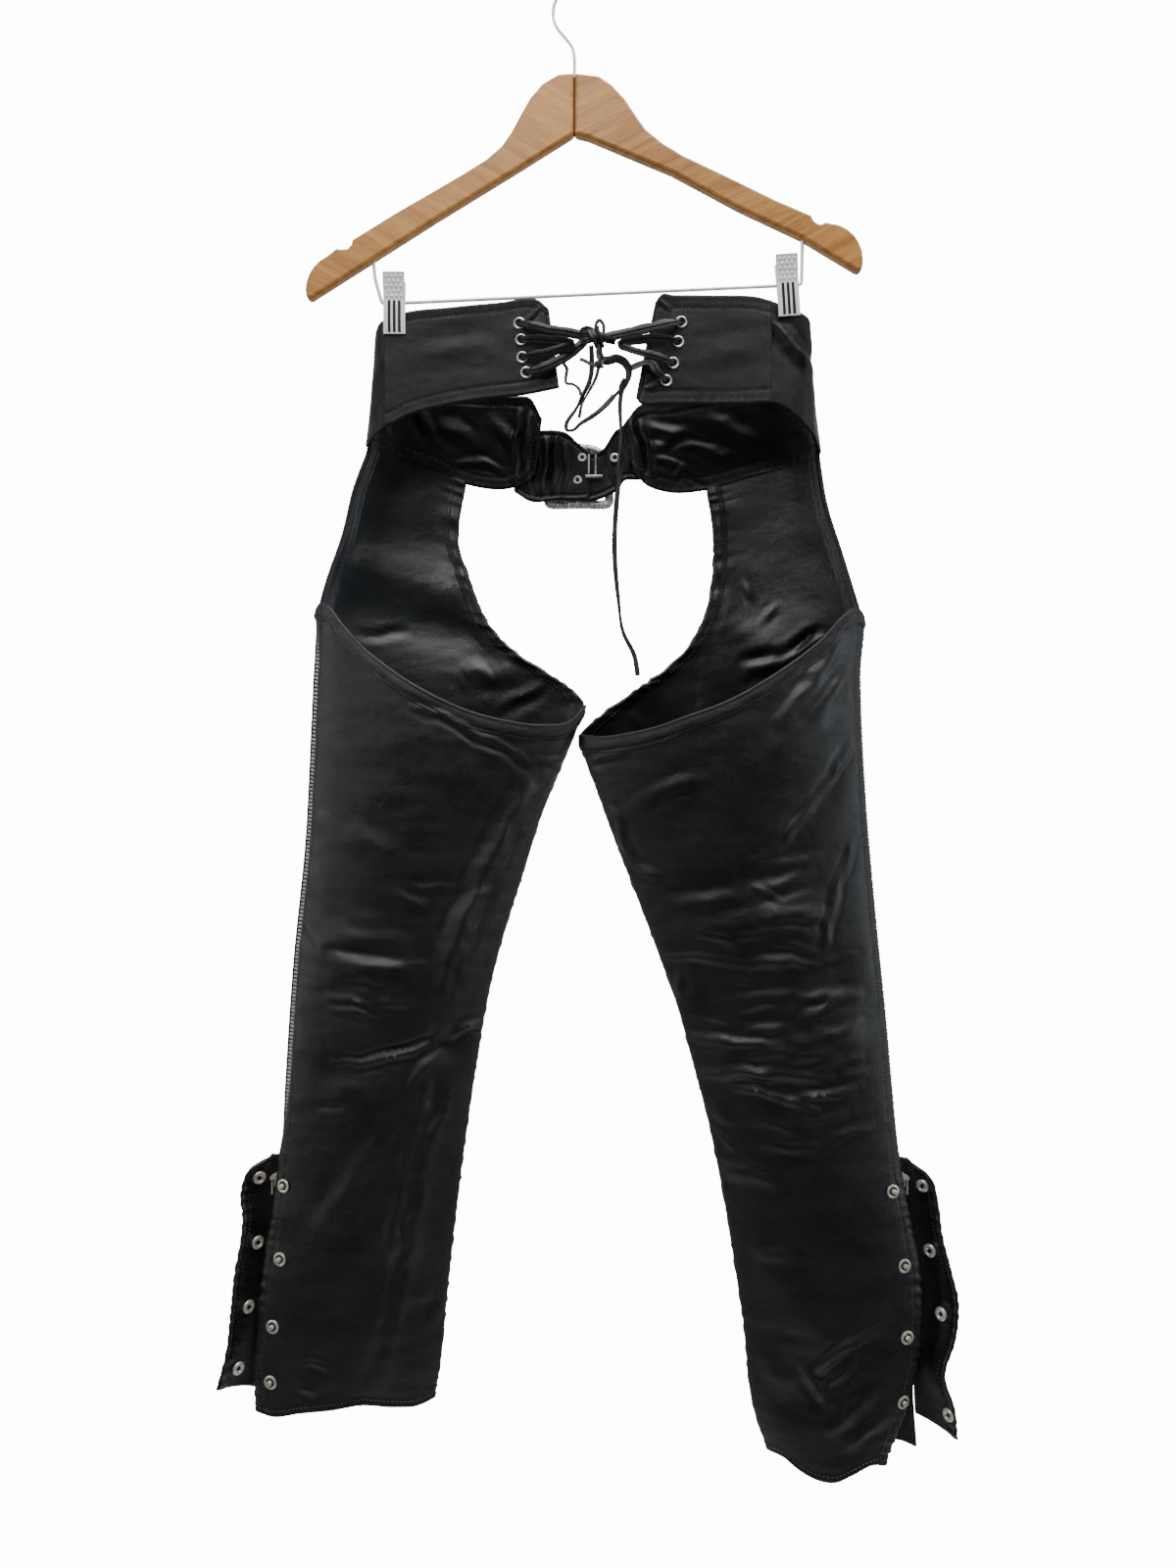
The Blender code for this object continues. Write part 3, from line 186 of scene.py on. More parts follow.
FRONT_YOKE = {
    "left": [
        Station(-151, 0, 268.6, -151, 0, 354),
        Station(-154, 0.4, 270.5, -155, 2, 356),
        Station(-158, 6, 275, -162, 9, 359),
        Station(-160, 16, 283, -168, 20, 361),
        Station(-156, 31, 293, -170.5, 36, 360),
        Station(-142, 45, 302, -153, 48, 363),
        Station(-112, 54, 308, -121, 56, 372),
        Station(-84, 58, 310, -92, 60, 384),
        Station(-52, 61, 310, -57, 63, 387),
        Station(-38, 62, 311, -43, 64, 383),
        Station(-28, 63, 328, -34, 64, 375),
    ],
    "right": [
        Station(158.2, 0, 253.6, 158.4, 0, 334),
        Station(169, 0, 258, 168, 0, 337),
        Station(181, 0, 262.5, 181, 1, 347),
        Station(188.5, 4, 267, 191, 7, 355),
        Station(191, 15, 275, 198, 18, 362),
        Station(189, 29, 285, 203, 36, 366),
        Station(175, 44, 297, 185, 48, 372),
        Station(143, 54, 306, 148, 56, 380),
        Station(106, 58, 311, 112, 60, 389),
        Station(76, 61, 315, 80, 63, 390),
        Station(56, 62, 317, 62, 64, 384),
        Station(41, 64, 334, 51, 65, 373),
    ],
}

# The stations of the front yokes between which the leg's front panel is sewn on.
LEG_SEAM_STATIONS = {"left": (4, 7), "right": (5, 8)}


# The four eyelets beside the back opening, from the top down.
Spot = namedtuple("Spot", "across drop")
YOKE_EYELETS = {
    "left": [Spot(-43, 273.5), Spot(-41.5, 286.5), Spot(-40.5, 300.5), Spot(-37.5, 312.5)],
    "right": [Spot(85.5, 272), Spot(83, 287.5), Spot(79, 304.5), Spot(73.5, 318.5)],
}


# A row of a leg's edge line.
Edge = namedtuple("Edge", "drop across depth")
OUTSEAM = {
    "left": [
        Edge(360, -169, 36), Edge(391, -180.5, 32), Edge(436, -191.5, 27), Edge(467, -201.5, 22),
        Edge(489, -207, 18), Edge(540, -211, 15), Edge(591, -213.5, 15),
        Edge(687, -218.5, 15), Edge(782, -228, 15), Edge(878, -234.5, 15), Edge(940, -238, 15),
    ],
    "right": [
        Edge(366, 201.5, 36), Edge(409, 208.5, 31), Edge(446, 219.5, 26), Edge(479, 228.5, 20),
        Edge(499, 233.5, 16), Edge(552, 232.5, 14), Edge(647, 236.5, 14), Edge(742, 244.5, 14),
        Edge(838, 254, 14), Edge(885, 258, 14), Edge(940, 262.5, 14),
    ],
}

# Below the slider the outseam is open, and each panel has its own outer edge.
OPEN_BACK_EDGE = {
    "left": [Edge(997, -245, 15), Edge(1032, -251, 14), Edge(1072, -255, 13),
             Edge(1107, -257, 12), Edge(1142, -255, 12)],
    "right": [Edge(1001, 273, 14), Edge(1028, 278, 13), Edge(1072, 279, 12),
              Edge(1104, 277, 12), Edge(1134, 269, 12), Edge(1186, 250, 12)],
}
OPEN_FRONT_EDGE = {
    "left": [Edge(997, -242.5, 15), Edge(1032, -246, 14), Edge(1072, -249, 13),
             Edge(1107, -251, 12), Edge(1140, -251, 12)],
    "right": [Edge(1001, 271, 14), Edge(1040, 275, 13), Edge(1072, 277, 12),
              Edge(1134, 276, 12), Edge(1178, 279, 12)],
}

# The crotch edge of the front panel, then the inseam.
INNER_EDGE = {
    "left": [
        Edge(384, -92, 60), Edge(415, -97, 56), Edge(441, -97, 53), Edge(461, -89.5, 49),
        Edge(483, -82, 45), Edge(507, -70, 40), Edge(525, -54, 35), Edge(546, -25, 27),
        Edge(559, -5, 22), Edge(575, 8.5, 18), Edge(592, 3, 16), Edge(623, -9.5, 16),
        Edge(663, -26, 16), Edge(707, -40, 16), Edge(794, -66, 15), Edge(862, -78.5, 15),
        Edge(949, -91, 15), Edge(1060, -103.5, 13), Edge(1107, -108, 12),
        Edge(1134, -112.5, 12),
    ],
    "right": [
        Edge(389, 112, 60), Edge(415, 116, 56), Edge(443, 117, 52), Edge(470, 115, 48),
        Edge(493, 110.5, 44), Edge(517, 99.5, 39), Edge(538, 83, 34), Edge(554, 61.5, 29),
        Edge(569, 40.5, 24), Edge(584, 20.5, 20), Edge(599, 5.5, 17), Edge(619, 9.5, 16),
        Edge(639, 17, 15), Edge(687, 34.5, 15), Edge(734, 53, 15), Edge(782, 71, 15),
        Edge(818, 84, 15), Edge(862, 96, 15), Edge(909, 108.5, 15), Edge(941, 115.5, 15),
        Edge(1028, 130.5, 14), Edge(1072, 137, 13), Edge(1149, 147, 12),
        Edge(1176, 156.5, 12),
    ],
}

# How far each panel bows out of the plane between its two edges.
Bow = namedtuple("Bow", "drop front back")
LEG_BOW = [
    Bow(360, 7, 30), Bow(440, 10, 30), Bow(520, 15, 31), Bow(590, 19, 30), Bow(660, 21, 27),
    Bow(800, 19, 23), Bow(950, 16, 18), Bow(1100, 13, 14), Bow(1190, 12, 12),
]

# How far a panel's end edge dips below the line between its two corners.
Dip = namedtuple("Dip", "across_share amount")
MOUTH_DIP = {
    "left": [Dip(0, 0), Dip(0.05, -1), Dip(0.11, 10), Dip(0.18, 21), Dip(0.30, 32),
             Dip(0.44, 39), Dip(0.58, 41), Dip(0.72, 37), Dip(0.85, 29), Dip(0.95, 16),
             Dip(1, 0)],
    "right": [Dip(0, 0), Dip(0.04, -5), Dip(0.09, -2), Dip(0.15, 7), Dip(0.24, 15),
              Dip(0.37, 22), Dip(0.50, 25), Dip(0.63, 23), Dip(0.76, 20), Dip(0.85, 15),
              Dip(0.93, 9), Dip(1, 0)],
}
HEM_DIP = {
    "left": [Dip(0, 0), Dip(0.11, 3), Dip(0.25, 0), Dip(0.45, -2), Dip(0.60, -4),
             Dip(0.79, 1), Dip(0.91, 3), Dip(1, 0)],
    "right": [Dip(0, 0), Dip(0.12, -2), Dip(0.30, 6), Dip(0.45, 13), Dip(0.60, 13),
              Dip(0.75, 8), Dip(0.88, 1), Dip(1, 0)],
}
MOUTH_DROP = {"left": (492, 575), "right": (499, 599)}
HEM_DROP = {"left": (1142, 1134), "right": (1186, 1176)}
FRONT_HEM_DROP = {"left": (1140, 1134), "right": (1178, 1176)}


# A large fold: a soft ridge (height above 0) or trough along a straight line.
Fold = namedtuple("Fold", "start_across start_drop end_across end_drop width height")
BACK_FOLDS = {
    "left": [
        Fold(-26, 632, -103, 812, 14, 4.4),
        Fold(-103, 838, -86, 846, 13, -4.0),
        Fold(-190, 862, -114, 841, 13, -2.5),
        Fold(-121, 912, -136, 1000, 16, 3.0),
        Fold(-136, 1000, -159, 1108, 16, 3.0),
        Fold(-195, 765, -130, 790, 16, 3.0),
    ],
    "right": [
        Fold(216, 560, 165, 590, 14, 2.5),
        Fold(216, 622, 152, 700, 14, -2.5),
        Fold(90, 745, 180, 735, 16, 3.0),
        Fold(110, 800, 205, 780, 16, -3.0),
        Fold(120, 850, 215, 835, 16, 3.0),
        Fold(150, 1010, 215, 1085, 18, 2.5),
        Fold(170, 1130, 245, 1075, 14, -2.5),
    ],
}
FRONT_FOLDS = {
    "left": [
        Fold(-190, 455, -105, 478, 16, -3.0),
        Fold(-195, 500, -80, 520, 18, 3.0),
        Fold(-200, 760, -110, 790, 18, 3.5),
        Fold(-195, 860, -110, 840, 16, -3.0),
        Fold(-150, 930, -180, 1080, 18, 3.0),
    ],
    "right": [
        Fold(120, 490, 165, 530, 14, -3.0),
        Fold(135, 575, 225, 520, 18, 3.0),
        Fold(90, 770, 205, 750, 18, 3.5),
        Fold(115, 850, 220, 830, 16, -3.0),
        Fold(170, 950, 200, 1100, 18, 3.0),
    ],
}


def fold_height(folds, across, drop):
    """The summed height of the folds at one place of a panel."""
    total = 0.0
    for fold in folds:
        run = Vector((fold.end_across - fold.start_across, fold.end_drop - fold.start_drop))
        place = Vector((across - fold.start_across, drop - fold.start_drop))
        share = place.dot(run) / run.length_squared
        nearest = run * min(max(share, 0.0), 1.0)
        distance = (place - nearest).length
        fade = math.exp(-(distance / fold.width) ** 2)
        total += fold.height * fade
    return total


class EdgeLine:
    """A smooth edge line of a leg, read by its drop or by its length."""

    def __init__(self, rows):
        drops = [row.drop for row in rows]
        self.across = smooth_curve(drops, [row.across for row in rows])
        self.depth = smooth_curve(drops, [row.depth for row in rows])

    def point(self, drop):
        return Vector((self.across(drop), self.depth(drop), -drop))

    def pace(self, start, end):
        """A function from a share of the length between two drops to a drop."""
        count = 160
        drops = [mix(start, end, i / count) for i in range(count + 1)]
        lengths = [0.0]
        for before, after in zip(drops, drops[1:]):
            step = self.point(after) - self.point(before)
            lengths.append(lengths[-1] + math.hypot(step.x, step.z))

        def drop_at(share):
            target = share * lengths[-1]
            i = 0
            while i < count - 1 and lengths[i + 1] < target:
                i += 1
            span = lengths[i + 1] - lengths[i]
            return mix(drops[i], drops[i + 1], (target - lengths[i]) / span)

        return drop_at


class LegPanel:
    """One panel of a leg: a wall between an outer and an inner edge line, bowed in depth."""

    def __init__(self, outer, inner, top_drops, hem_drops, bow, bow_sign, folds,
                 top_dip, hem_dip, seam=None):
        self.outer = outer
        self.inner = inner
        self.outer_drop = outer.pace(top_drops[0], hem_drops[0])
        self.inner_drop = inner.pace(top_drops[1], hem_drops[1])
        self.bow = bow
        self.bow_sign = bow_sign
        self.folds = folds
        self.top_dip = top_dip
        self.hem_dip = hem_dip
        self.seam = seam

    def edge_half(self, drop):
        """Half the space in depth between the two panels along the outseam."""
        opening = smooth_step(drop, ZIP_OPEN_FROM, ZIP_OPEN_TO)
        return mix(ZIP_EDGE_HALF, OPEN_EDGE_HALF, opening)

    def plain_point(self, u, v):
        outer = self.outer.point(self.outer_drop(v))
        inner = self.inner.point(self.inner_drop(v))
        place = outer.lerp(inner, u)
        drop = -place.z
        inseam_half = (LEG_WALL + TOUCH_GAP) / 2
        edge_space = mix(self.edge_half(-outer.z), inseam_half, u)
        arch = (4 * u * (1 - u)) ** 0.75
        window = min(1.0, 6 * u, 6 * (1 - u), 0.3 + 8 * v, 0.3 + 8 * (1 - v))
        folded = fold_height(self.folds, place.x, drop) * window
        place.y += self.bow_sign * (edge_space + self.bow(drop) * arch + folded)
        place.z -= self.top_dip(u) * (1 - v) ** 2 + self.hem_dip(u) * v ** 2
        return place

    def point(self, u, v):
        place = self.plain_point(u, v)
        if self.seam is not None and v < 0.25:
            correction = self.seam(u) - self.plain_point(u, 0.0)
            place += correction * (1 - v / 0.25) ** 2
        return place


def dip_curve(rows):
    return smooth_curve([row.across_share for row in rows], [row.amount for row in rows])


def no_dip(share):
    return 0.0


front_bow = smooth_curve([row.drop for row in LEG_BOW], [row.front for row in LEG_BOW])
back_bow = smooth_curve([row.drop for row in LEG_BOW], [row.back for row in LEG_BOW])

back_yoke_band = {side: Band(BACK_YOKE[side]) for side in OUTWARD}
front_yoke_band = {side: Band(FRONT_YOKE[side]) for side in OUTWARD}
inner_line = {side: EdgeLine(INNER_EDGE[side]) for side in OUTWARD}
back_outer_line = {side: EdgeLine(OUTSEAM[side] + OPEN_BACK_EDGE[side]) for side in OUTWARD}
front_outer_line = {side: EdgeLine(OUTSEAM[side] + OPEN_FRONT_EDGE[side]) for side in OUTWARD}


def leg_seam(side):
    """The line under a front yoke along which the leg's front panel hangs."""
    band = front_yoke_band[side]
    first, last = LEG_SEAM_STATIONS[side]
    start = band.marks[first]
    end = band.marks[last]

    def seam_point(u):
        return band.lower(mix(start, end, u)) - Vector((0, 0, SEAM_GAP))

    return seam_point


back_panel = {}
front_panel = {}
for side in OUTWARD:
    outer_top = OUTSEAM[side][0].drop
    inner_top = INNER_EDGE[side][0].drop
    back_panel[side] = LegPanel(
        back_outer_line[side], inner_line[side], MOUTH_DROP[side], HEM_DROP[side],
        back_bow, -1.0, BACK_FOLDS[side], dip_curve(MOUTH_DIP[side]),
        dip_curve(HEM_DIP[side]))
    front_panel[side] = LegPanel(
        front_outer_line[side], inner_line[side], (outer_top, inner_top),
        FRONT_HEM_DROP[side], front_bow, 1.0, FRONT_FOLDS[side], no_dip,
        dip_curve(HEM_DIP[side]), seam=leg_seam(side))


BELT = {
    "left": [
        Station(-52, 64.2, 341, -51, 66.2, 389),
        Station(-34, 65.6, 338, -38, 67.0, 396.5),
        Station(-8, 66.8, 339, -16, 67.2, 396),
        Station(3, 67.2, 348, 2, 67.2, 396),
        Station(13, 67.4, 356, 12, 67.4, 395),
    ],
    "right": [
        Station(64, 65.0, 336, 66, 66.8, 378),
        Station(48, 66.6, 334, 52, 67.8, 378),
        Station(37, 67.8, 336, 44, 68.4, 378),
        Station(24, 69.8, 353, 36, 69.4, 387),
        Station(8, 70.5, 356, 18, 70.5, 395),
        Station(-22, 70.5, 356, -22, 70.5, 393),
    ],
}


FLAP_ROOT_GAP = 1.3
FlapRow = namedtuple("FlapRow", "root_drop tip_drop tip_across tip_depth sag")
FLAP = {
    "left": [
        FlapRow(940, 941.5, -245.5, 20, 0),
        FlapRow(956, 950.5, -262, 10, 5),
        FlapRow(974, 969, -268, 7, 6),
        FlapRow(992, 987, -265.5, 4, 6),
        FlapRow(1014, 1005, -266, 0, 7),
        FlapRow(1040, 1029.5, -270, -3, 7),
        FlapRow(1071, 1060, -272.5, -5, 7),
        FlapRow(1100, 1089.5, -275.5, -6, 7),
        FlapRow(1131, 1119.5, -283, -7, 6),
    ],
    "right": [
        FlapRow(942, 944.5, 271.5, 20, 0),
        FlapRow(960, 957.5, 288.5, 10, 5),
        FlapRow(980, 978, 293.5, 7, 6),
        FlapRow(1002, 1002.5, 296, 4, 6),
        FlapRow(1028, 1029.5, 302, 0, 7),
        FlapRow(1056, 1053, 306.5, -3, 7),
        FlapRow(1084, 1081, 303.5, -5, 7),
        FlapRow(1110, 1109.5, 295, -5, 7),
        FlapRow(1132, 1135.5, 302.5, -6, 6),
        FlapRow(1151, 1159, 304.5, -7, 4),
    ],
}


def smooth_route(points, spacing):
    """Points at an even spacing along a smooth curve through the route's own points."""
    lengths = [0.0]
    for before, after in zip(points, points[1:]):
        lengths.append(lengths[-1] + (Vector(after) - Vector(before)).length)
    axes = [smooth_curve(lengths, [point[i] for point in points]) for i in range(3)]
    count = max(2, round(lengths[-1] / spacing))
    route = []
    for i in range(count + 1):
        along = lengths[-1] * i / count
        route.append(Vector([axis(along) for axis in axes]))
    return route


def rounded_route(corners, radius, steps):
    """A route of straight runs whose corners are quarter-round bends."""
    route = [Vector(corners[0])]
    for before, corner, after in zip(corners, corners[1:], corners[2:]):
        corner = Vector(corner)
        back = Vector(before) - corner
        ahead = Vector(after) - corner
        enter = corner + back.normalized() * min(radius, back.length * 0.48)
        leave = corner + ahead.normalized() * min(radius, ahead.length * 0.48)
        for i in range(steps + 1):
            t = i / steps
            route.append(enter * (1 - t) ** 2 + corner * 2 * t * (1 - t) + leave * t * t)
    route.append(Vector(corners[-1]))
    return route


# The lace's own routes. A whole number stands for a pass through that eyelet, from the
# front when it is above 0 and from behind when it is below.
LACE_LEFT = [
    (7.6, -11, -285), (-4, -11.5, -282.5), (-20, -11.5, -280.5), 1, -2, (-24, -13, -289),
    (-8, -15, -291.5), (0, -14.5, -293.5), (-8, -14, -296), (-24, -12.5, -300.5), 3, -4,
    (-25, -11.5, -311), (-6, -11.5, -302), (5, -11, -293), (8.6, -11, -289.6),
]
LACE_RIGHT = [
    (26.4, -11, -286), (36, -11, -284), (62, -12, -278.5), 1, -2, (66, -12.5, -287.5),
    (45, -15, -290.5), (36, -14.5, -293), (45, -14, -297), (60, -12.5, -300.5), 3, -4,
    (66, -11.5, -314), (62, -11.5, -306.5), (55, -11.5, -306.5), (45.7, -11, -310.4),
]
LACE_LONG_END = [
    (21, -11, -292.7), (20.5, -11.5, -300), (25, -12, -306), (31, -12.5, -303.5),
    (38.5, -12, -305), (43.5, -11, -311), (43, -9, -319), (38.5, -7.5, -327),
    (37, -7, -338), (37.5, -7, -356), (36, -7, -395), (33.5, -7, -424), (32.5, -7, -448),
    (35.5, -7, -492), (39.5, -7, -519), (48.5, -7, -538), (51, -7, -553),
]
LACE_LOOP = [
    (14, -11, -292.9), (14.5, -9.5, -303), (13, -8, -319), (7, -6, -331), (2.5, -4, -340),
    (-4, -3, -349), (-6.5, -3, -356), (-2.5, -4, -358), (6, -5.5, -352.5),
    (18, -6.5, -345), (26, -7, -338), (32, -7.5, -331.5),
]
LACE_THIN_END = [
    (20.6, -11.6, -306.4), (18, -11, -317.5), (12.5, -10, -328.3), (7, -9, -337.6),
    (4.5, -9, -349),
]
LACE_TAIL = [
    (-8.7, -10.8, -305.6), (-4.5, -9.5, -313.5), (-7, -9.5, -319), (-4, -9.5, -323.3),
    (1.5, -9.5, -323), (5, -9.5, -328), (6, -11, -332),
]


def lace_route(stops, places):
    """A rounded route through free points and through the eyelets at their places."""
    front = 3.2
    behind = YOKE_WALL + 2 * TOUCH_GAP + 0.6 + LACE_DIAMETER / 2 + 0.5
    corners = []
    for stop in stops:
        if isinstance(stop, int):
            place = places[abs(stop) - 1]
            middle = place.translation / MM
            out = place.to_3x3() @ Vector((0, 0, 1))
            pair = [middle + out * front, middle - out * behind]
            corners += pair if stop > 0 else pair[::-1]
        else:
            corners.append(Vector(stop))
    return rounded_route(corners, LACE_BEND, 2)


# A strip through the eyelets spreads out where it hangs free
STRIP_SPREAD = 1.75
STRIP_END = 0.65
NARROW_WIDTH = 3.9
NARROW_THICKNESS = 2.3
LEAF_LENGTH = 46.0
LEAF_SWELL = 0.75
THIN_WIDTH = 2.6
THIN_THICKNESS = 1.9

# The knot's strands, wound over one another, and its thin strands
KNOT_STRANDS = [
    [(5, -9, -285), (8, -13, -284), (13, -15.5, -285.5), (20, -15.5, -288), (28, -13, -289),
     (33, -10, -289)],
    [(4, -9, -291), (9, -13, -290), (15, -14, -288.5), (21, -14.5, -286), (27, -12.5, -286.5)],
    [(13, -8, -281), (13, -14, -280.5), (14.5, -17.5, -285), (17, -17.5, -290),
     (19, -13, -293), (19, -8, -291)],
    [(19, -8, -281), (18.5, -14, -281), (19, -17.5, -285), (20.5, -17, -290),
     (22, -12.5, -293), (22, -8, -291)],
    [(7, -8, -282.5), (8, -12.5, -281.5), (12, -14.5, -281.5), (16, -13.5, -283.5)],
]
KNOT_THIN_STRANDS = [
    [(18, -13, -284), (17.5, -13.5, -279), (18.3, -13.5, -275.6), (20.6, -13.5, -273.8),
     (23, -13.5, -276), (24, -13.5, -280), (23.5, -13, -284)],
    [(19.6, -13, -291), (20.2, -14, -297), (21.3, -13.5, -301.5), (20.6, -12.8, -306),
     (20, -12.5, -309)],
    [(21, -12, -291), (20.4, -12.5, -297), (19.6, -13.5, -301.5), (20.6, -13.8, -306),
     (20.8, -12.5, -309)],
    [(5, -11.5, -303.5), (9.5, -12, -305.5), (14, -12.3, -308), (18.5, -13, -309.5),
     (21.5, -13.2, -308.5), (23, -12.4, -306), (25.5, -12.6, -304.5)],
    [(17.6, -11.5, -306.6), (18.6, -14, -307), (20.6, -14.8, -309), (22.4, -13.4, -310.6),
     (22.8, -11.2, -309.6)],
    [(30.4, -7.5, -333), (33.5, -7.6, -330.3), (36.4, -7.8, -327.6), (37.6, -8, -322.6),
     (40.5, -8.6, -318)],
]

# The camera sees a white room. The object is lit by it from behind more than from the front.
ROOM_FRONT_LIGHT = 0.085
ROOM_BACK_LIGHT = 0.9
BACKDROP_LIGHT = 14.0
FLOOR_SIDES = 96
FLOOR_RADIUS = 0.8
FLOOR_BELOW = 0.65
Lamp = namedtuple("Lamp", "name place wide high power colour")
LAMPS = [
    Lamp("top", (0.15, -0.55, 0.85), 1.3, 0.4, 24.0, (1.0, 1.0, 1.0)),
    Lamp("left", (-1.5, -0.6, -0.45), 0.3, 1.6, 8.5, (0.93, 0.96, 1.0)),
    Lamp("right", (1.6, -0.5, -0.5), 0.3, 1.6, 10.0, (0.88, 0.94, 1.0)),
    Lamp("front", (-0.35, -1.7, 0.95), 0.9, 0.5, 18.0, (0.94, 0.97, 1.0)),
]

# Hems and bands, each by its distance from the edge
MOUTH_HEM = 13.0
FOOT_HEM = 6.0
ZIP_BAND = 9.0
FACING = 11.5
ZIP_FACING = 10.5
CORNER_REACH = 9.0
CORNER_DROP = 6.5
FLAP_HEM = 8.5

# How strongly the band beside the zip is gathered
BAND_PUCKER = {"left": 0.25, "right": 0.6}

# The back panel stands a little back from the zip's teeth
ZIP_SHOW = {"left": 6.2, "right": 1.6}
ZIP_SHOW_REACH = 11.0
ZIP_SHOW_FROM = 500.0
ZIP_SHOW_TO = 940.0

# How far a sewn edge runs in under its neighbour
SEAM_OVERLAP = 2.6
SEAM_OVERLAP_REACH = 6.0

# Zip
TOOTH_PITCH = 3.1
TOOTH_INSET = {"left": 4.2, "right": 1.4}
TOOTH_TOWARD = {"left": 2.4, "right": 0.0}
TOOTH_WIDE = 3.2
TOOTH_HIGH = 1.7
TOOTH_DEEP = 2.2
TOOTH_SLANT = 1.1
TAPE_WIDTH = 6.4
TAPE_THICKNESS = 0.8
TAPE_BEHIND = 1.6

# The hanger's bar and its clips, as in the solids
BAR_LEFT = (-153, -255.5)
BAR_RIGHT = (182, -240.2)
CLIP_PLACE = {"left": (-142.8, 0.0), "right": (170.5, 4.0)}
JAW_LINE = [(8.4, 22.0), (7.6, 20.0), (5.0, 9.0), (3.8, 1.5), (3.6, -3.0), (3.4, -14.0),
            (2.7, -25.0)]
BUMP_ROWS = 5
BUMP_COUNT = 4
BUMP_TOP = 19.0
BUMP_DOWN = 3.6
BUMP_ACROSS = 3.8
BUMP_RADIUS = 1.25
RIB_COUNT = 4
RIB_PITCH = 4.0
RIB_TOP = 1.0
RIB_FOOT = -24.0
RIB_RADIUS = 0.9

# Buckle, as in the solids
BUCKLE_HALF_WIDE = 30.0
BUCKLE_HALF_HIGH = 28.0
BUCKLE_RIM = 7.8
BUCKLE_MIDDLE = (3.5, -374.2)
BUCKLE_DEPTH_PLACE = 74.05
BUCKLE_BAR_ACROSS = 12.0

# Belt eyelets: across, depth, height and radius. Bars: start, end and radius.
BELT_EYELETS = [(6.5, 65.9, -359.9, 3.6), (2.6, 65.9, -379.2, 3.6), (34.5, 67.0, -359.9, 4.0)]
BELT_BARS = [
    ((9.3, 64.6, -376.3), (23.7, 65.6, -376.0), 1.3),
    ((12.2, 64.9, -357.4), (12.2, 64.9, -374.2), 0.8),
    ((18.0, 65.3, -357.4), (18.0, 65.3, -374.2), 0.8),
]

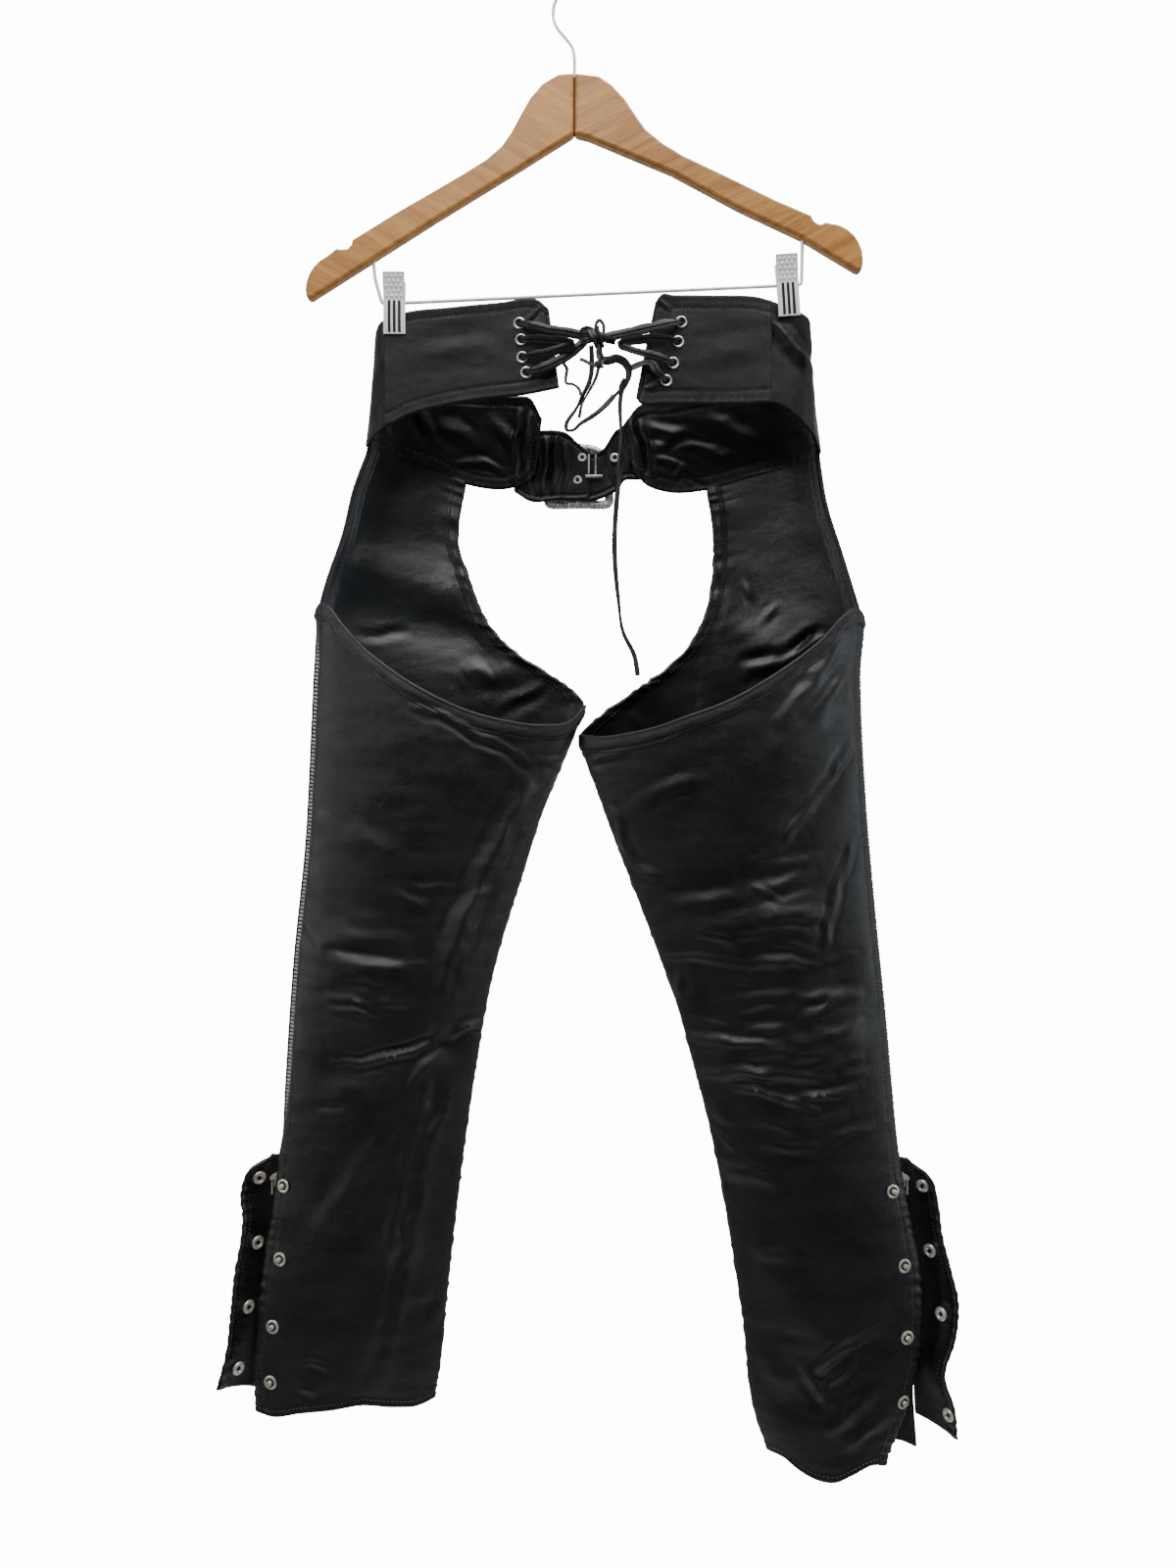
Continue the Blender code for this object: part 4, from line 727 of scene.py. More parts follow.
# A crease: a soft ridge (height above 0) or trough along an arc that bows by "bow".
CREASE_SHARE = 1.35
CREASE_NARROWING = 0.95
WAVER = 3.0
Crease = namedtuple("Crease", "across drop end_across end_drop bow width height")
BACK_CREASES = {
    "left": [
        Crease(-27, 640, -100, 812, -4, 5, -1.5), Crease(-37, 642, -107, 807, -4, 9, 3.2),
        Crease(-192, 759, -128, 770, 3, 7, 1.7), Crease(-196, 772, -139, 779, 2, 4, -1.1),
        Crease(-183, 786, -112, 790, 4, 8, 1.5), Crease(-186, 797, -150, 803, 2, 4, -1.1),
        Crease(-178, 742, -148, 752, 2, 5, 0.7), Crease(-216, 748, -199, 770, 1, 5, 0.8),
        Crease(-193, 806, -156, 817, 1, 3, 1.4), Crease(-190, 817, -157, 825, 1, 3, 1.2),
        Crease(-155, 811, -130, 812, 0, 3, 0.8), Crease(-190, 860, -129, 853, -2, 3, 1.6),
        Crease(-129, 853, -106, 833, -4, 3, 1.8), Crease(-185, 855, -112, 841, -3, 3, -2.0),
        Crease(-99, 839.5, -74, 831.5, 1, 3, 1.5), Crease(-129, 882, -108, 855, 3, 4, 1.2),
        Crease(-130, 720, -89, 720, -2, 3, 0.8), Crease(-79, 727, -63, 723, -1, 3, 1.0),
        Crease(-144, 724, -117, 737, 0, 4, 0.8), Crease(-197, 673, -141, 697, 2, 9, 1.4),
        Crease(-126, 578, -36, 624, 4, 3, 0.9), Crease(-36, 624, -5, 620, 2, 3, 0.8),
        Crease(-126, 583, -36, 628, 4, 3, -0.9), Crease(-107, 871, -127, 939, 2, 5, -1.8),
        Crease(-127, 939, -150, 1069, 2, 5, -1.8), Crease(-150, 1069, -162, 1112, 0, 5, -1.2),
        Crease(-134, 894, -160, 932, 0, 8, 1.2), Crease(-160, 932, -210, 1008, 0, 8, 1.2),
        Crease(-206, 896, -183, 894, 0, 3, -1.0), Crease(-217, 1100, -193, 1103, 3, 3, 1.2),
        Crease(-221, 1116, -208, 1122, 1, 3, 1.2), Crease(-111, 1069, -100, 1051, 1, 6, 1.0),
    ],
    "right": [
        Crease(212, 526, 164, 588, 2, 6, 2.2), Crease(215, 558, 190, 576, 0, 9, 1.8),
        Crease(221, 609, 192, 650, 1, 3, 1.2), Crease(192, 650, 168.5, 683.6, -1, 3.5, 1.4),
        Crease(168.5, 683.6, 139, 704, 0, 4, 0.9), Crease(36, 671, 49, 704, -2, 4, 1.4),
        Crease(49, 704, 68, 713, -1, 4, 1.2), Crease(76, 735, 135, 725, -2, 6, 1.3),
        Crease(143, 720, 162.5, 730.5, 0, 2.5, 1.2), Crease(140, 725, 183, 710, -1, 5, 1.4),
        Crease(139, 707, 192, 698, -1, 4, 0.8), Crease(221, 687, 205, 732, 1, 3, 1.3),
        Crease(205, 732, 197, 765, 1, 3, 1.1), Crease(155, 742, 192, 742, 2, 6, 1.8),
        Crease(162, 731, 194, 725, 0, 4, 1.0), Crease(150, 750, 195, 752, 1, 3, -1.2),
        Crease(73, 777, 140, 781, 1, 3, 1.2), Crease(140, 781, 192, 784.5, 4, 3.5, 1.6),
        Crease(192, 784.5, 224, 773, 1, 3, 1.0), Crease(84, 796, 87, 808, 0, 3, 1.0),
        Crease(180, 809, 209, 805, 0, 3.5, 1.3), Crease(120, 812, 175, 806, 0, 4, 0.8),
        Crease(181, 827, 228, 805, 4, 4, 1.7), Crease(141, 834, 167, 830, 0, 3.5, 1.2),
        Crease(91, 843, 162.5, 848, 1, 3.5, 1.4), Crease(173, 856, 206, 852, 2, 3.5, 1.1),
        Crease(117, 863, 158, 870.5, 1, 3.5, 1.2), Crease(187, 869, 227, 856, 3, 4, 1.3),
        Crease(105.5, 873, 202, 875, 6, 4, 1.7), Crease(184, 889, 221, 884, 1, 3.5, 1.3),
        Crease(127, 880, 193, 899, 3, 3, 1.5), Crease(162, 894, 228, 880, 2, 3, 1.4),
        Crease(110, 897, 131, 912, 0, 6, 1.2), Crease(112, 917, 127, 930, 1, 2.5, 1.2),
        Crease(120, 950, 160, 956, 1, 6, 1.2), Crease(151, 1013, 175, 1013, 0, 5, 1.0),
        Crease(193, 1105, 241, 1074, 4, 4, 2.0), Crease(184, 1101, 206, 1134, -2, 4, 1.3),
        Crease(197, 1125, 223, 1096, 1, 3.5, 1.6), Crease(206, 1153, 239, 1120, 1, 5, 1.8),
        Crease(219, 1166, 254, 1140, 1, 5, 1.5), Crease(151, 1094, 164, 1116, 0, 7, 1.0),
        Crease(46, 655, 103, 634, 2, 5, 0.9), Crease(26, 659, 40, 669, 0, 4, 1.2),
        Crease(14, 620, 41, 614, 1, 3, 1.0),
        Crease(96, 756, 128, 768, 2, 3, 0.9), Crease(122, 791, 152, 797, -1, 2.5, 0.8),
        Crease(158, 765, 190, 772, 2, 3, 0.9), Crease(131, 822, 160, 818, 1, 2.5, 0.7),
        Crease(100, 829, 124, 836, 1, 3, 0.8), Crease(196, 838, 226, 829, -2, 3, 0.9),
        Crease(140, 856, 172, 851, 1, 2.5, 0.8), Crease(205, 876, 232, 868, 1, 2.5, 0.9),
        Crease(142, 908, 178, 915, 2, 3, 1.0), Crease(178, 908, 214, 901, -1, 3, 0.9),
        Crease(148, 926, 196, 931, 2, 4, 1.0), Crease(133, 938, 160, 944, 1, 3, 0.8),
        Crease(200, 925, 236, 914, 2, 4, 1.0), Crease(110, 762, 150, 757, -1, 3, 0.7),
    ],
}
FRONT_CREASES = {
    "left": [
        Crease(-179, 516, -141, 512, 0, 4, -1.4), Crease(-93, 548, -71, 543, 1, 6, 1.6),
        Crease(-71, 543, -49, 541, 1, 6, 1.4), Crease(-89, 555, -45, 550, 1, 6, 1.3),
        Crease(-59, 584, -21, 560, 0, 4, -1.3), Crease(-64, 579, -27, 556, 0, 4, 1.2),
        Crease(-190, 720, -130, 735, 2, 6, 1.6), Crease(-200, 800, -120, 810, -3, 6, 1.8),
        Crease(-190, 870, -110, 880, 2, 5, 1.6), Crease(-215, 1020, -150, 1040, 3, 6, 1.5),
    ],
    "right": [
        Crease(141, 472, 152, 483, 0, 3, 1.0), Crease(157, 502, 171, 492, 0, 3, 1.0),
        Crease(141, 537, 172, 531, 1, 4, -1.8), Crease(172, 531, 204, 512, 1, 4, -1.8),
        Crease(141, 545, 172, 539, 1, 5, 1.2), Crease(172, 539, 208, 519, 1, 5, 1.2),
        Crease(49, 578, 54.5, 594, 0, 3, 0.8), Crease(103.3, 523, 103.3, 572, 0, 2, -0.8),
        Crease(110, 720, 190, 730, 3, 6, 1.6), Crease(120, 800, 215, 790, 3, 6, 1.8),
        Crease(130, 880, 215, 870, 2, 5, 1.6), Crease(160, 1030, 235, 1045, 3, 6, 1.5),
    ],
}
BELT_CREASES = {
    "left": [Crease(-24, 342, -28, 388, 1, 2.4, 2.3), Crease(-15, 342, -19, 388, -1, 2.2, 1.9),
             Crease(-33, 345, -36, 390, 0, 2.0, -1.2), Crease(-6, 350, -10, 392, 0, 2.0, 1.2)],
    "right": [Crease(44, 340, 47, 374, 0, 2.2, 1.7), Crease(54, 340, 57, 374, 0, 2.0, 1.5),
              Crease(30, 356, 36, 380, 0, 2.2, 1.2)],
}
BACK_YOKE_CREASES = {
    "left": [Crease(-40, 273, -25, 260, 0, 1.6, 0.9), Crease(-120, 300, -60, 292, 2, 8, 0.6)],
    "right": [Crease(67, 255, 78, 262, 0, 1.6, 0.9), Crease(70, 318, 58, 326, 0, 2, 0.9),
              Crease(100, 300, 150, 292, 2, 8, 0.5)],
}
FRONT_YOKE_CREASES = {
    "left": [Crease(-152, 300, -158, 345, 0, 3, 1.0), Crease(-120, 335, -80, 352, 2, 6, 1.0),
              Crease(-38, 325, -44, 378, 0, 2.6, 1.8), Crease(-47, 322, -53, 380, 0, 2.4, 1.5),
              Crease(-62, 372, -100, 366, -3, 3, 1.2), Crease(-140, 318, -118, 350, 2, 4, 1.0),
             Crease(-70, 330, -45, 360, 1, 5, 0.9)],
    "right": [Crease(153, 264, 172, 285, 0, 4.5, -2.4), Crease(168, 279, 188, 308, 0, 5.0, -2.8),
              Crease(47, 330, 57, 378, 0, 3.2, 2.4), Crease(56.5, 332, 66, 376, 0, 2.2, 1.7),
              Crease(70, 362, 100, 380, 2, 3, 1.2), Crease(75, 366, 112, 388, 2, 2.5, -1.0),
              Crease(66, 333, 92, 341, -2, 4, 1.5), Crease(90, 352, 130, 362, 2, 4, 1.0),
              Crease(85, 379, 93, 370, 0, 2.5, 1.0), Crease(61.5, 336, 83, 344, 0, 4, 0.9),
              Crease(66.5, 354, 83, 344, 0, 4, 0.9), Crease(110, 330, 150, 350, 2, 6, 1.0)],
}


def link(name, mesh, looks, smooth_angle=None):
    """Link a mesh as a piece that rides with the garment."""
    made = bpy.data.objects.new(name, mesh)
    bpy.context.scene.collection.objects.link(made)
    for look in looks if isinstance(looks, tuple) else (looks,):
        mesh.materials.append(look)
    mesh.shade_smooth()
    if smooth_angle is not None:
        mesh.set_sharp_from_angle(angle=math.radians(smooth_angle))
    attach(made, BODY)
    return made


def mesh_from(name, points, faces):
    """A mesh from points in millimetres."""
    mesh = bpy.data.meshes.new(name)
    mesh.from_pydata((np.asarray(points) * MM).tolist(), [], faces)
    mesh.validate()
    mesh.update()
    return mesh


class Heap:
    """Points and faces of many small shapes, joined into one piece."""

    def __init__(self):
        self.points = []
        self.faces = []
        self.kinds = []

    def add(self, points, faces, kind=0):
        start = len(self.points)
        self.points += [tuple(point) for point in points]
        self.faces += [tuple(start + i for i in face) for face in faces]
        self.kinds += [kind] * len(faces)

    def piece(self, name, looks, smooth_angle=40.0):
        mesh = bpy.data.meshes.new(name)
        mesh.from_pydata((np.array(self.points) * MM).tolist(), [], self.faces)
        mesh.update()
        mesh.polygons.foreach_set("material_index", self.kinds)
        return link(name, mesh, looks, smooth_angle)


# Shaders


def shader_tree(name, colour, roughness, metallic=0.0, specular=0.5):
    """A new material with its Principled shader and its node tree."""
    made = bpy.data.materials.new(name)
    made.use_nodes = True
    tree = made.node_tree
    shader = tree.nodes["Principled BSDF"]
    shader.inputs["Base Color"].default_value = (*colour, 1.0)
    shader.inputs["Roughness"].default_value = roughness
    shader.inputs["Metallic"].default_value = metallic
    shader.inputs["Specular IOR Level"].default_value = specular
    made.diffuse_color = (*colour, 1.0)
    return made, tree, shader


def add_node(tree, kind, **values):
    """A node with its named properties and inputs set."""
    node = tree.nodes.new(kind)
    for key, value in values.items():
        if hasattr(node, key):
            setattr(node, key, value)
        else:
            node.inputs[key.replace("_", " ")].default_value = value
    return node


def stretched_place(tree, scale, turn=0.0):
    """The place on the object, turned about Y and stretched by a scale for each axis."""
    place = tree.nodes.new("ShaderNodeTexCoord")
    level = add_node(tree, "ShaderNodeMapping", Rotation=(0.0, turn, 0.0))
    stretch = add_node(tree, "ShaderNodeMapping", Scale=scale)
    tree.links.new(place.outputs["Object"], level.inputs["Vector"])
    tree.links.new(level.outputs["Vector"], stretch.inputs["Vector"])
    return stretch.outputs["Vector"]


def noise_at(tree, scale, turn=0.0, detail=4.0, roughness=0.6, distortion=0.0):
    """A noise value over the object's stretched place."""
    node = add_node(tree, "ShaderNodeTexNoise", Scale=1.0, Detail=detail,
                    Roughness=roughness, Distortion=distortion)
    tree.links.new(stretched_place(tree, scale, turn), node.inputs["Vector"])
    return node.outputs["Fac"]


def blend_colours(tree, factor, low, high):
    """A colour between two, by a factor output; each may be a colour or an output."""
    blend = add_node(tree, "ShaderNodeMix", data_type="RGBA")
    for socket, colour in (("A", low), ("B", high)):
        if isinstance(colour, tuple):
            blend.inputs[socket].default_value = (*colour, 1.0)
        else:
            tree.links.new(colour, blend.inputs[socket])
    tree.links.new(factor, blend.inputs["Factor"])
    return blend.outputs["Result"]


def spread(tree, value, from_low, from_high, to_low, to_high):
    """A value moved from one range to another."""
    node = add_node(tree, "ShaderNodeMapRange")
    for name, number in (("From Min", from_low), ("From Max", from_high),
                         ("To Min", to_low), ("To Max", to_high)):
        node.inputs[name].default_value = number
    tree.links.new(value, node.inputs["Value"])
    return node.outputs["Result"]


def raise_bumps(tree, shader, layers):
    """Bumps laid over each other: (height output, strength, depth in metres)."""
    normal = None
    for height, strength, depth in layers:
        bump = add_node(tree, "ShaderNodeBump", Strength=strength, Distance=depth)
        tree.links.new(height, bump.inputs["Height"])
        if normal is not None:
            tree.links.new(normal, bump.inputs["Normal"])
        normal = bump.outputs["Normal"]
    tree.links.new(normal, shader.inputs["Normal"])


SMOOTHEST_LEATHER = 0.285


def leather(name, dark, light, roughness, grain, specular=0.5, wrinkle=0.35):
    """Grained leather: cells of about a millimetre, soft blotches and fine wrinkles."""
    made, tree, shader = shader_tree(name, dark, roughness, 0.0, specular)
    blotch = noise_at(tree, (16.0, 16.0, 22.0), detail=3.0)
    tint = spread(tree, blotch, 0.36, 0.66, 0.0, 1.0)
    tree.links.new(blend_colours(tree, tint, dark, light), shader.inputs["Base Color"])
    rough = spread(tree, noise_at(tree, (34.0, 34.0, 60.0), detail=2.0), 0.3, 0.7,
                   roughness + 0.09, max(roughness - 0.09, SMOOTHEST_LEATHER))
    tree.links.new(rough, shader.inputs["Roughness"])
    cells = add_node(tree, "ShaderNodeTexVoronoi", Scale=1.0, feature="DISTANCE_TO_EDGE")
    tree.links.new(stretched_place(tree, (1050.0, 1050.0, 1050.0)), cells.inputs["Vector"])
    pebbles = spread(tree, cells.outputs["Distance"], 0.0, 0.14, 0.0, 1.0)
    pores = noise_at(tree, (1500.0, 1500.0, 1500.0), detail=3.0)
    lines = noise_at(tree, (70.0, 70.0, 120.0), turn=0.12, detail=3.0, roughness=0.5)
    raise_bumps(tree, shader, ((pebbles, grain, 0.00012), (pores, grain * 0.6, 0.0002),
                               (lines, wrinkle, 0.0008)))
    return made


def metal(name, colour, roughness, wear=0.15, dark_share=0.6, metallic=0.7):
    """Plated metal with faint cloudy wear."""
    made, tree, shader = shader_tree(name, colour, roughness, metallic)
    cloud = noise_at(tree, (160.0, 160.0, 160.0), detail=5.0)
    dark = tuple(channel * dark_share for channel in colour)
    tint = spread(tree, cloud, 0.35, 0.60, 0.0, 1.0)
    tree.links.new(blend_colours(tree, tint, dark, colour), shader.inputs["Base Color"])
    rough = spread(tree, cloud, 0.3, 0.7, roughness + wear, roughness)
    tree.links.new(rough, shader.inputs["Roughness"])
    return made


def beech(name, light, dark, turn):
    """Varnished beech with its grain along an arm that slopes by the given turn."""
    made, tree, shader = shader_tree(name, light, 0.44, 0.0, 0.3)
    rings = noise_at(tree, (7.0, 90.0, 110.0), turn, detail=7.0, roughness=0.62,
                     distortion=0.9)
    tint = spread(tree, rings, 0.36, 0.66, 0.0, 1.0)
    base = blend_colours(tree, tint, light, dark)
    pores = noise_at(tree, (120.0, 1500.0, 1500.0), turn, detail=2.0)
    speck = spread(tree, pores, 0.55, 0.70, 0.0, 0.6)
    deep = tuple(channel * 0.5 for channel in dark)
    tree.links.new(blend_colours(tree, speck, base, deep), shader.inputs["Base Color"])
    raise_bumps(tree, shader, ((pores, 0.12, 0.0003),))
    shader.inputs["Coat Weight"].default_value = 0.08
    shader.inputs["Coat Roughness"].default_value = 0.2
    return made


YOKE_LOOK = leather("yoke_leather", (0.0026, 0.0030, 0.0033), (0.0050, 0.0058, 0.0064), 0.46,
                    0.5, 0.30, 0.3)
SIDE_LOOK = leather("side_leather", (0.002, 0.0022, 0.0026), (0.004, 0.0045, 0.005), 0.30, 0.4,
                    0.34, 0.5)
# Inner faces: a bluish leather, its tone partly the glossy inner finish and partly painted light
# lifting the inner faces that the lamps hardly reach.
INNER_LOOK = leather("inner_leather", (0.0025, 0.0032, 0.0040), (0.0065, 0.0080, 0.0098), 0.31,
                     0.3, 0.38, 0.45)
FLAP_LOOK = leather("flap_leather", (0.004, 0.0045, 0.005), (0.012, 0.013, 0.014), 0.30, 0.3)
LEG_LOOK = {
    "left": leather("left_leg_leather", (0.0042, 0.0040, 0.0037), (0.0085, 0.0080, 0.0072),
                    0.38, 0.5, 0.5, 0.42),
    "right": leather("right_leg_leather", (0.0028, 0.0030, 0.0034), (0.0066, 0.0070, 0.0080),
                     0.35, 0.5, 0.5, 0.45),
}
LACE_LOOK = leather("lace_leather", (0.003, 0.003, 0.003), (0.008, 0.0085, 0.0085), 0.45,
                    0.4)
THREAD_LOOK = leather("thread", (0.045, 0.047, 0.050), (0.080, 0.083, 0.088), 0.45, 0.2)
TAPE_LOOK = leather("zip_tape", (0.005, 0.005, 0.006), (0.010, 0.010, 0.011), 0.75, 0.3)
# Painted shade: a near-black metal laid in eyelet barrels, snap middles and the gaps between a
# clip's ribs, where shade would fall.
RECESS_SHADE_LOOK = metal("painted_recess_shade", (0.030, 0.026, 0.022), 0.45)
NICKEL_LOOK = metal("antique_nickel", (0.74, 0.69, 0.60), 0.24, metallic=0.55)
ZIP_LOOK = metal("zip_metal", (0.88, 0.86, 0.82), 0.34, metallic=0.35)
CHROME_LOOK = metal("chrome", (0.97, 0.96, 0.95), 0.2, 0.05, 0.9, 0.12)
BUCKLE_LOOK = metal("buckle_silver", (0.84, 0.80, 0.73), 0.28, 0.2, 0.3, 0.45)


# Camera, floor and light


def make_stage():
    """The photograph's camera, a pale round floor well below, and soft light."""
    data = bpy.data.cameras.new("photo_camera")
    data.sensor_fit = "VERTICAL"
    data.sensor_height = SENSOR_HEIGHT
    data.lens = SENSOR_HEIGHT * FOCAL_PIXELS / FRAME_PIXELS
    data.clip_start = 0.02
    camera = bpy.data.objects.new("photo_camera", data)
    camera.location = CAMERA_PLACE
    camera.rotation_euler = (math.pi / 2, 0.0, 0.0)
    bpy.context.scene.collection.objects.link(camera)
    bpy.context.scene.camera = camera

    corners = []
    for i in range(FLOOR_SIDES):
        angle = 2 * math.pi * i / FLOOR_SIDES
        corners.append((FLOOR_RADIUS * math.cos(angle), FLOOR_RADIUS * math.sin(angle),
                        cad_box[0].z - FLOOR_BELOW))
    mesh = bpy.data.meshes.new("floor")
    mesh.from_pydata(corners, [], [tuple(range(FLOOR_SIDES))])
    floor = bpy.data.objects.new("floor", mesh)
    mesh.materials.append(shader_tree("pale_floor", (0.90, 0.90, 0.90), 0.9, 0.0, 0.1)[0])
    bpy.context.scene.collection.objects.link(floor)

    world = bpy.data.worlds.new("studio")
    bpy.context.scene.world = world
    world.use_nodes = True
    tree = world.node_tree
    room = tree.nodes["Background"]
    room.inputs["Color"].default_value = (1.0, 1.0, 1.0, 1.0)
    way = tree.nodes.new("ShaderNodeTexCoord")
    axes = tree.nodes.new("ShaderNodeSeparateXYZ")
    tree.links.new(way.outputs["Generated"], axes.inputs["Vector"])
    strength = spread(tree, axes.outputs["Y"], -0.15, 0.9, ROOM_FRONT_LIGHT, ROOM_BACK_LIGHT)
    tree.links.new(strength, room.inputs["Strength"])
    backdrop = add_node(tree, "ShaderNodeBackground", Strength=BACKDROP_LIGHT)
    backdrop.inputs["Color"].default_value = (1.0, 1.0, 1.0, 1.0)
    seen = tree.nodes.new("ShaderNodeLightPath")
    either = tree.nodes.new("ShaderNodeMixShader")
    tree.links.new(seen.outputs["Is Camera Ray"], either.inputs[0])
    tree.links.new(room.outputs[0], either.inputs[1])
    tree.links.new(backdrop.outputs[0], either.inputs[2])
    tree.links.new(either.outputs[0], tree.nodes["World Output"].inputs["Surface"])

    aim = Vector((0.02, 0.0, -0.62))
    for lamp in LAMPS:
        light = bpy.data.lights.new(lamp.name, "AREA")
        light.shape = "RECTANGLE"
        light.size = lamp.wide
        light.size_y = lamp.high
        light.energy = lamp.power
        light.color = lamp.colour
        made = bpy.data.objects.new(lamp.name, light)
        made.location = lamp.place
        made.rotation_euler = (aim - Vector(lamp.place)).to_track_quat("-Z", "Y").to_euler()
        bpy.context.scene.collection.objects.link(made)


# Lace


def disc_place(name):
    """The centre, the axis towards the camera and the radius of a round fitting."""
    points = np.array([vert.co for vert in nodes[name].data.vertices]) / MM
    middle = (points.max(0) + points.min(0)) / 2
    axis = np.linalg.svd(points - middle, full_matrices=False)[2][2]
    if axis[1] > 0:
        axis = -axis
    return Vector(middle), Vector(axis)


def tube(route, section, twist=0.0, taper=None, start_up=(0, -1, 0), widths=None):
    """Points and faces of a closed tube: a section of (side, up) pairs along a route."""
    route = [Vector(point) for point in route]
    up = Vector(start_up)
    points = []
    travelled = 0.0
    last = len(route) - 1
    for i, place in enumerate(route):
        along = (route[min(i + 1, last)] - route[max(i - 1, 0)]).normalized()
        if i:
            travelled += (place - route[i - 1]).length
        up = (up - along * up.dot(along)).normalized()
        up_now = Matrix.Rotation(twist * travelled, 3, along) @ up
        side = along.cross(up_now)
        size = taper(i / last) if taper else 1.0
        wide = widths[i] if widths else 1.0
        for a, b in section:
            points.append(place + side * a * size * wide + up_now * b * size)
    count = len(section)
    faces = []
    for i in range(last):
        for j in range(count):
            k = (j + 1) % count
            faces.append((i * count + j, i * count + k, (i + 1) * count + k,
                          (i + 1) * count + j))
    faces.append(tuple(range(count))[::-1])
    faces.append(tuple(last * count + j for j in range(count)))
    return points, faces


def folded_section(width, thickness):
    """A strip folded lengthwise: two flat lobes with a crease between them."""
    w = width / 2
    t = thickness / 2
    return [(-w, -t * 0.6), (-w * 0.7, -t), (-w * 0.1, -t), (w * 0.1, -t * 0.6),
            (w * 0.8, -t), (w, -t * 0.3), (w, t * 0.5), (w * 0.75, t), (w * 0.22, t * 0.9),
            (w * 0.05, t * 0.1), (-w * 0.12, t), (-w * 0.8, t * 0.8), (-w, t * 0.3)]


def flat_section(width, thickness):
    """A strip's cross-section with softened corners."""
    w = width / 2
    t = thickness / 2
    s = min(0.35, t * 0.6)
    return [(-w, -t + s), (-w + s, -t), (w - s, -t), (w, -t + s),
            (w, t - s), (w - s, t), (-w + s, t), (-w, t - s)]


def round_section(radius, sides=8):
    return [(radius * math.cos(2 * math.pi * i / sides),
             radius * math.sin(2 * math.pi * i / sides)) for i in range(sides)]


def make_lace():
    """The criss-cross, the loop and the loose ends, each a cord in place of its hidden solid."""
    places = {}
    for side in OUTWARD:
        places[side] = []
        for number in range(1, 5):
            middle, axis = disc_place(f"eyelet_{side}_{number}")
            turn = axis.to_track_quat("Z", "Y").to_matrix().to_4x4()
            places[side].append(Matrix.Translation(middle * MM) @ turn)
    wide = folded_section(LACE_WIDTH, LACE_THICKNESS)
    narrow = flat_section(NARROW_WIDTH, NARROW_THICKNESS)
    thin = flat_section(THIN_WIDTH, THIN_THICKNESS)
    Thong = namedtuple("Thong", "name route twist far_end section width")
    thongs = [
        Thong("lace_left", lace_route(LACE_LEFT, places["left"]), 0.0, "object", wide,
              LACE_WIDTH * (1 + STRIP_SPREAD) / 2),
        Thong("lace_right", lace_route(LACE_RIGHT, places["right"]), 0.0, "object", wide,
              LACE_WIDTH * (1 + STRIP_SPREAD) / 2),
        Thong("lace_long_end", smooth_route(LACE_LONG_END, LACE_STEP), 0.022, "bare", narrow,
              NARROW_WIDTH),
        Thong("lace_loop", smooth_route(LACE_LOOP, LACE_STEP), 0.03, "object", narrow,
              NARROW_WIDTH),
        Thong("lace_thin_end", smooth_route(LACE_THIN_END, LACE_STEP), 0.05, "bare", thin,
              THIN_WIDTH),
        Thong("lace_tail", smooth_route(LACE_TAIL, LACE_STEP), 0.08, "bare", thin,
              THIN_WIDTH),
    ]
    for thong in thongs:
        route = smooth_route(thong.route, 1.4)
        widths = None
        if thong.section is wide:
            holes = [place.translation / MM for place in places["left"] + places["right"]]
            widths = []
            for point in route:
                away = min((point - hole).length for hole in holes)
                ripple = 1 + 0.16 * noise.noise(point * 0.16)
                wide_here = mix(1.0, STRIP_SPREAD * ripple, smooth_step(away, 4, 15))
                left = (point - route[-1]).length
                end_share = STRIP_END if thong.name == "lace_right" else 1.0
                widths.append(wide_here * mix(end_share, 1.0, smooth_step(left, 8, 26)))
        if thong.name == "lace_long_end":
            lengths = [0.0]
            for a, b in zip(route, route[1:]):
                lengths.append(lengths[-1] + (b - a).length)
            widths = [1 + LEAF_SWELL * math.sin(math.pi * min(s / LEAF_LENGTH, 1.0)) ** 0.7
                      for s in lengths]
        made = link(f"{thong.name}_thong",
                    mesh_from(thong.name, *tube(route, thong.section, thong.twist,
                                                widths=widths)),
                    LACE_LOOK, 35.0)
        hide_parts(thong.name)


def make_knot():
    """The bow's knot: strands wound round each other, a small loop above and one below."""
    heap = Heap()
    section = folded_section(LACE_WIDTH * 1.3, LACE_THICKNESS)
    thin = flat_section(THIN_WIDTH, THIN_THICKNESS)
    for strand in KNOT_STRANDS:
        heap.add(*tube(smooth_route(strand, 1.0), section))
    for strand in KNOT_THIN_STRANDS:
        heap.add(*tube(smooth_route(strand, 1.0), thin))
    made = heap.piece("lace_knot_bow", LACE_LOOK)
    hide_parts("lace_knot")


# Leather panels


def arc_points(crease, steps=8):
    """Points along a crease, whose middle stands "bow" off the straight line."""
    start = np.array([crease.across, crease.drop])
    run = np.array([crease.end_across, crease.end_drop]) - start
    side = np.array([run[1], -run[0]]) / np.linalg.norm(run)
    t = np.linspace(0, 1, steps + 1)[:, None]
    return start + run * t + side * crease.bow * (4 * t * (1 - t))


